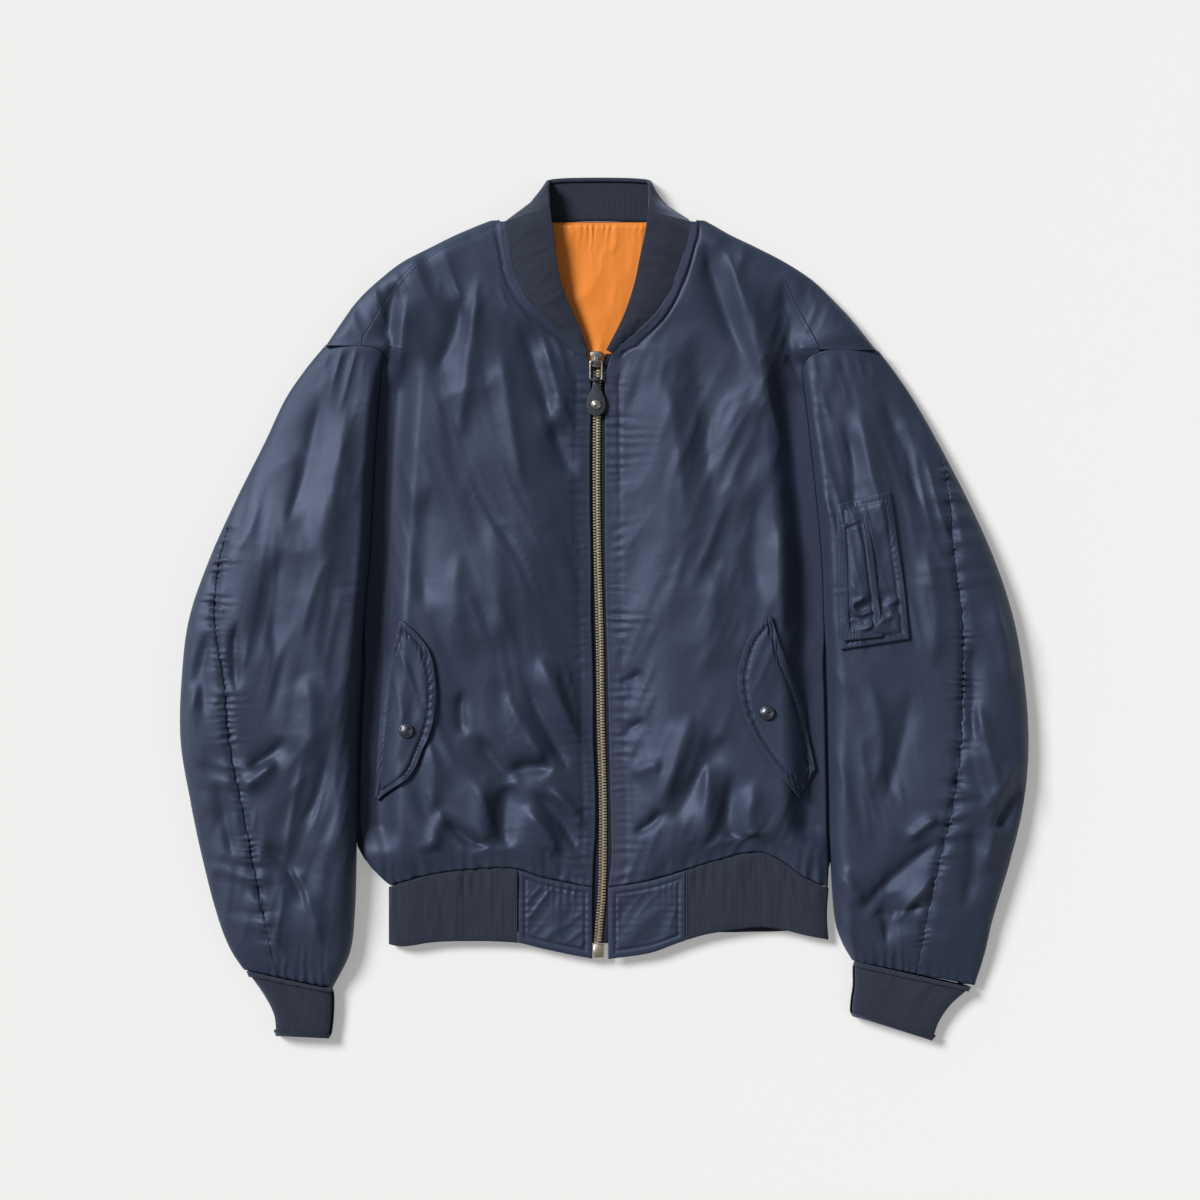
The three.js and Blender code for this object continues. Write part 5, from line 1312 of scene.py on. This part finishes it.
for hand, outward in (("right", -1), ("left", 1)):
    on_front = lambda x, y, hand=hand: front_height(hand, x, y)
    y = np.linspace(-255, 226, 200)
    inner = read(FRONT_NAMES, FRONT[hand], y)["inner"]
    stitches(f"placket_{hand}_stitches", on_front, np.column_stack([inner + outward * PLACKET, y]))
    y = np.linspace(246, 367, 90)
    inner, longer = neck_edge(hand, y)
    beside = inner + outward * (BINDING * longer)
    stitches(f"neck_{hand}_stitches", on_front, np.column_stack([beside, y]), 0.6)
    y = np.linspace(shoulder_y(hand) + 7, 365, 80)
    stitches(f"shoulder_{hand}_stitches", on_front, np.column_stack([side_x(hand, y) - outward * 4.5, y]))
    k = np.linspace(0.05, 0.95, 120)
    a, b = outline(FLAP[hand]["seam"], k), outline(FLAP[hand]["free"], k)
    inward = (a - b) / np.linalg.norm(a - b, axis=1, keepdims=True)
    stitches(f"flap_{hand}_stitches", on_front, b + STITCHED_IN * inward, ON_FLAP + 0.3)


# The zip
# Two woven tapes under the front edges, each with a row of cast teeth that mesh in the middle; a
# slider at the top, and a stop at the bottom that holds both rows together.
ZIP_LINE = (
    (-333, -7), (-305, -5), (-270, -2), (-229, -1), (-181, -1), (-105, -3), (-29, -4), (46, -6),
    (122, -7), (218, -6.5), (250, -6.5))
CHAIN_HALF = 3.7
CHAIN_TOP = 12.4
CHAIN_MIDDLE = CHAIN_TOP - 1.5
CHAIN_LOW = -318
CHAIN_HIGH = 229.4
TOOTH_PITCH = 2.75
WALL = 2.5
TAPE_HIGH = 243
TAPE_TOP = ZIP_TOP - WALL - 0.3
TAPE_REACH = 13


def zip_x(y):
    """x of the zip's middle line."""
    return read(("y", "x"), ZIP_LINE, y)["x"]


tape_paint = woven_paint("zip_tape", (0.012, 0.015, 0.025), (0.018, 0.022, 0.034), 0.2, 0.3, 0.2)
for hand, side in (("right", -1), ("left", 1)):
    y = np.linspace(CHAIN_LOW, TAPE_HIGH, 160)
    away = np.linspace(1.2, CHAIN_HALF + 0.3 + TAPE_REACH, 20)
    x = zip_x(y)[:, None] + side * away[None]
    z = np.where(away < CHAIN_HALF, TAPE_TOP - 0.4, TAPE_TOP)[None] + 0 * x
    grid = np.stack([x, np.broadcast_to(y[:, None], x.shape), z], axis=-1)
    cloth(f"zip_{hand}_tape", grid, tape_paint, f"zip_tape_{hand}", "tape", thick=0.9)

# One tooth's sections: away from the middle, half width along the zip, height
TOOTH = (
    (-0.9, 0.55, 0.35), (-0.3, 0.85, 0.8), (1.0, 0.95, 1.0), (2.9, 1.0, 1.0), (3.6, 0.8, 0.7))
teeth = []
for k in range(int((CHAIN_HIGH - CHAIN_LOW - 2) / TOOTH_PITCH)):
    for side in (-1, 1):
        y = CHAIN_LOW + 1.6 + (k + (0.5 if side > 0 else 0)) * TOOTH_PITCH
        x = float(zip_x(y))
        rings = []
        for away, half, tall in TOOTH:
            high, low = CHAIN_MIDDLE + 1.5 * tall, CHAIN_MIDDLE - 1.4 * tall
            rings.append([(x + side * away, y + dy * half, z) for dy, z in (
                (-1, low), (1, low), (1, high - 0.4), (0.6, high), (-0.6, high), (-1, high - 0.4))])
        teeth.append(stacked(rings))
piece_of("zip_teeth", *joined(teeth), brass, "teeth", solid="zip_chain", rounded=False)

# The slider: a waisted plate with a bridge over it. Its outline's right half: from the middle, Y
SLIDER_LOW = 229.8
SLIDER_MIDDLE = 236.25
SLIDER_OUTLINE = (
    (3.4, SLIDER_LOW), (4.0, 230.4), (4.1, 232), (4.15, 235), (4.4, 237.5), (5.1, 239.6), (5.9, 240.9),
    (6.0, 242.4), (5.6, 244), (4.5, 245), (3.0, 245))
BRIDGE_FOOT = 14.4
BRIDGE_RISE = 4.4
BRIDGE_HALF = 5.1
edge = [(SLIDER_X + x, y) for x, y in SLIDER_OUTLINE]
edge = [(SLIDER_X - SLIDER_OUTLINE[0][0], SLIDER_LOW)] + edge
edge += [(SLIDER_X - x, y) for x, y in SLIDER_OUTLINE[:0:-1]]
arch = [(SLIDER_MIDDLE - BRIDGE_HALF * math.cos(part), BRIDGE_FOOT + BRIDGE_RISE * math.sin(part)**0.6)
        for part in np.linspace(0, math.pi, 11)]
hollow = [(SLIDER_MIDDLE + (y - SLIDER_MIDDLE) * 0.68, 14.2 + (z - BRIDGE_FOOT) * 0.66) for y, z in arch]
bridge = [[(SLIDER_X + x, SLIDER_MIDDLE + (y - SLIDER_MIDDLE) * squeeze, z)
           for y, z in arch + hollow[::-1]]
          for x, squeeze in ((-1.6, 0.96), (-1.2, 1), (1.2, 1), (1.6, 0.96))]
piece_of("zip_slider_body", *joined([plate(edge, 8.6, 14.6, 0.7), stacked(bridge)]), metal, "hardware",
         solid="zip_slider")

edge = [(-9.9, -331.6), (-0.1, -331.6), (-0.1, -318.6), (-9.9, -318.6)]
piece_of("zip_bottom_stop", *plate(edge, 8.8, 13, 0.8), brass, "hardware", solid="zip_stop")


# The pull
# A wire frame whose upper bar turns under the slider's bridge, with a leather puller looped round
# its lower bar and closed by a rivet.
HINGE_Y = 235.4
HINGE_Z = 16.3
WIRE = 1.0
PULL_HALF = 5.6
PULL_LOW = 217.8
PULL_ROUND = 1.6
path = []
for side, y, start in (
        (1, HINGE_Y - PULL_ROUND, 0), (-1, HINGE_Y - PULL_ROUND, 90),
        (-1, PULL_LOW + PULL_ROUND, 180), (1, PULL_LOW + PULL_ROUND, 270)):
    for step in np.linspace(0, 90, 7):
        angle = math.radians(start + step)
        path.append((SLIDER_X + side * (PULL_HALF - PULL_ROUND) + PULL_ROUND * math.cos(angle),
                     y + PULL_ROUND * math.sin(angle), HINGE_Z))
path = np.array(path)
run = np.roll(path, -1, axis=0) - np.roll(path, 1, axis=0)
run /= np.linalg.norm(run, axis=1, keepdims=True)
aside = np.stack([run[:, 1], -run[:, 0], np.zeros(len(path))], axis=1)
angle = np.linspace(0, 2 * math.pi, 12, endpoint=False)[:, None]
frame_rings = [at + WIRE * (np.cos(angle) * out + np.sin(angle) * np.array([0, 0, 1.0]))
               for at, out in zip(path, aside)]
piece_of("zip_pull_frame", *looped(frame_rings), metal, "hardware", "pull", "zip_pull")

STRAP_HALF = 3.3
STRAP_TOP = 214
STRAP_THICK = 1.1
STRAP_CURVES = (
    (STRAP_HALF, STRAP_TOP, 3.3, 207, 9.2, 203, 9.2, 194), (9.2, 194, 9.2, 187, 5, 183.5, 0, 183.5),
    (0, 183.5, -5, 183.5, -9.2, 187, -9.2, 194), (-9.2, 194, -9.2, 203, -3.3, 207, -STRAP_HALF, STRAP_TOP))
LOOP = ((-STRAP_HALF, 2.1), (-3.1, 3.0), (3.1, 3.0), (STRAP_HALF, 2.1), (3.1, 1.9), (-3.1, 1.9))
drop = []
for x0, y0, x1, y1, x2, y2, x3, y3 in STRAP_CURVES:
    for t in np.linspace(0, 1, 15)[:-1]:
        drop.append((
            SLIDER_X + (1 - t)**3 * x0 + 3 * t * (1 - t)**2 * x1 + 3 * t * t * (1 - t) * x2 + t**3 * x3,
            (1 - t)**3 * y0 + 3 * t * (1 - t)**2 * y1 + 3 * t * t * (1 - t) * y2 + t**3 * y3))
drop.append((SLIDER_X - STRAP_HALF, STRAP_TOP))
leaf = plate(drop[::-1], HINGE_Z - STRAP_THICK, HINGE_Z + STRAP_THICK, 0.5)
loop_rings = [[(SLIDER_X + x, PULL_LOW + r * math.cos(angle), HINGE_Z + r * math.sin(angle))
               for x, r in LOOP] for angle in np.linspace(0, 2 * math.pi, 33)[:-1]]
piece_of("zip_puller", *joined([leaf, looped(loop_rings)]), leather, "leather", "pull", "zip_strap")

RIVET = ((4.5, 0), (4.6, 0.25), (4.4, 0.6), (3.2, 1.0), (2.7, 0.75), (2.3, 1.2), (1.2, 1.45), (0.2, 1.5))
piece_of("zip_puller_rivet", *turned(RIVET, (SLIDER_X, RIVET_Y, HINGE_Z + 1.4)), metal, "hardware",
         "pull", "zip_rivet")


{"cad": cad_box, "visual": [list(corner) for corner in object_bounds()]}
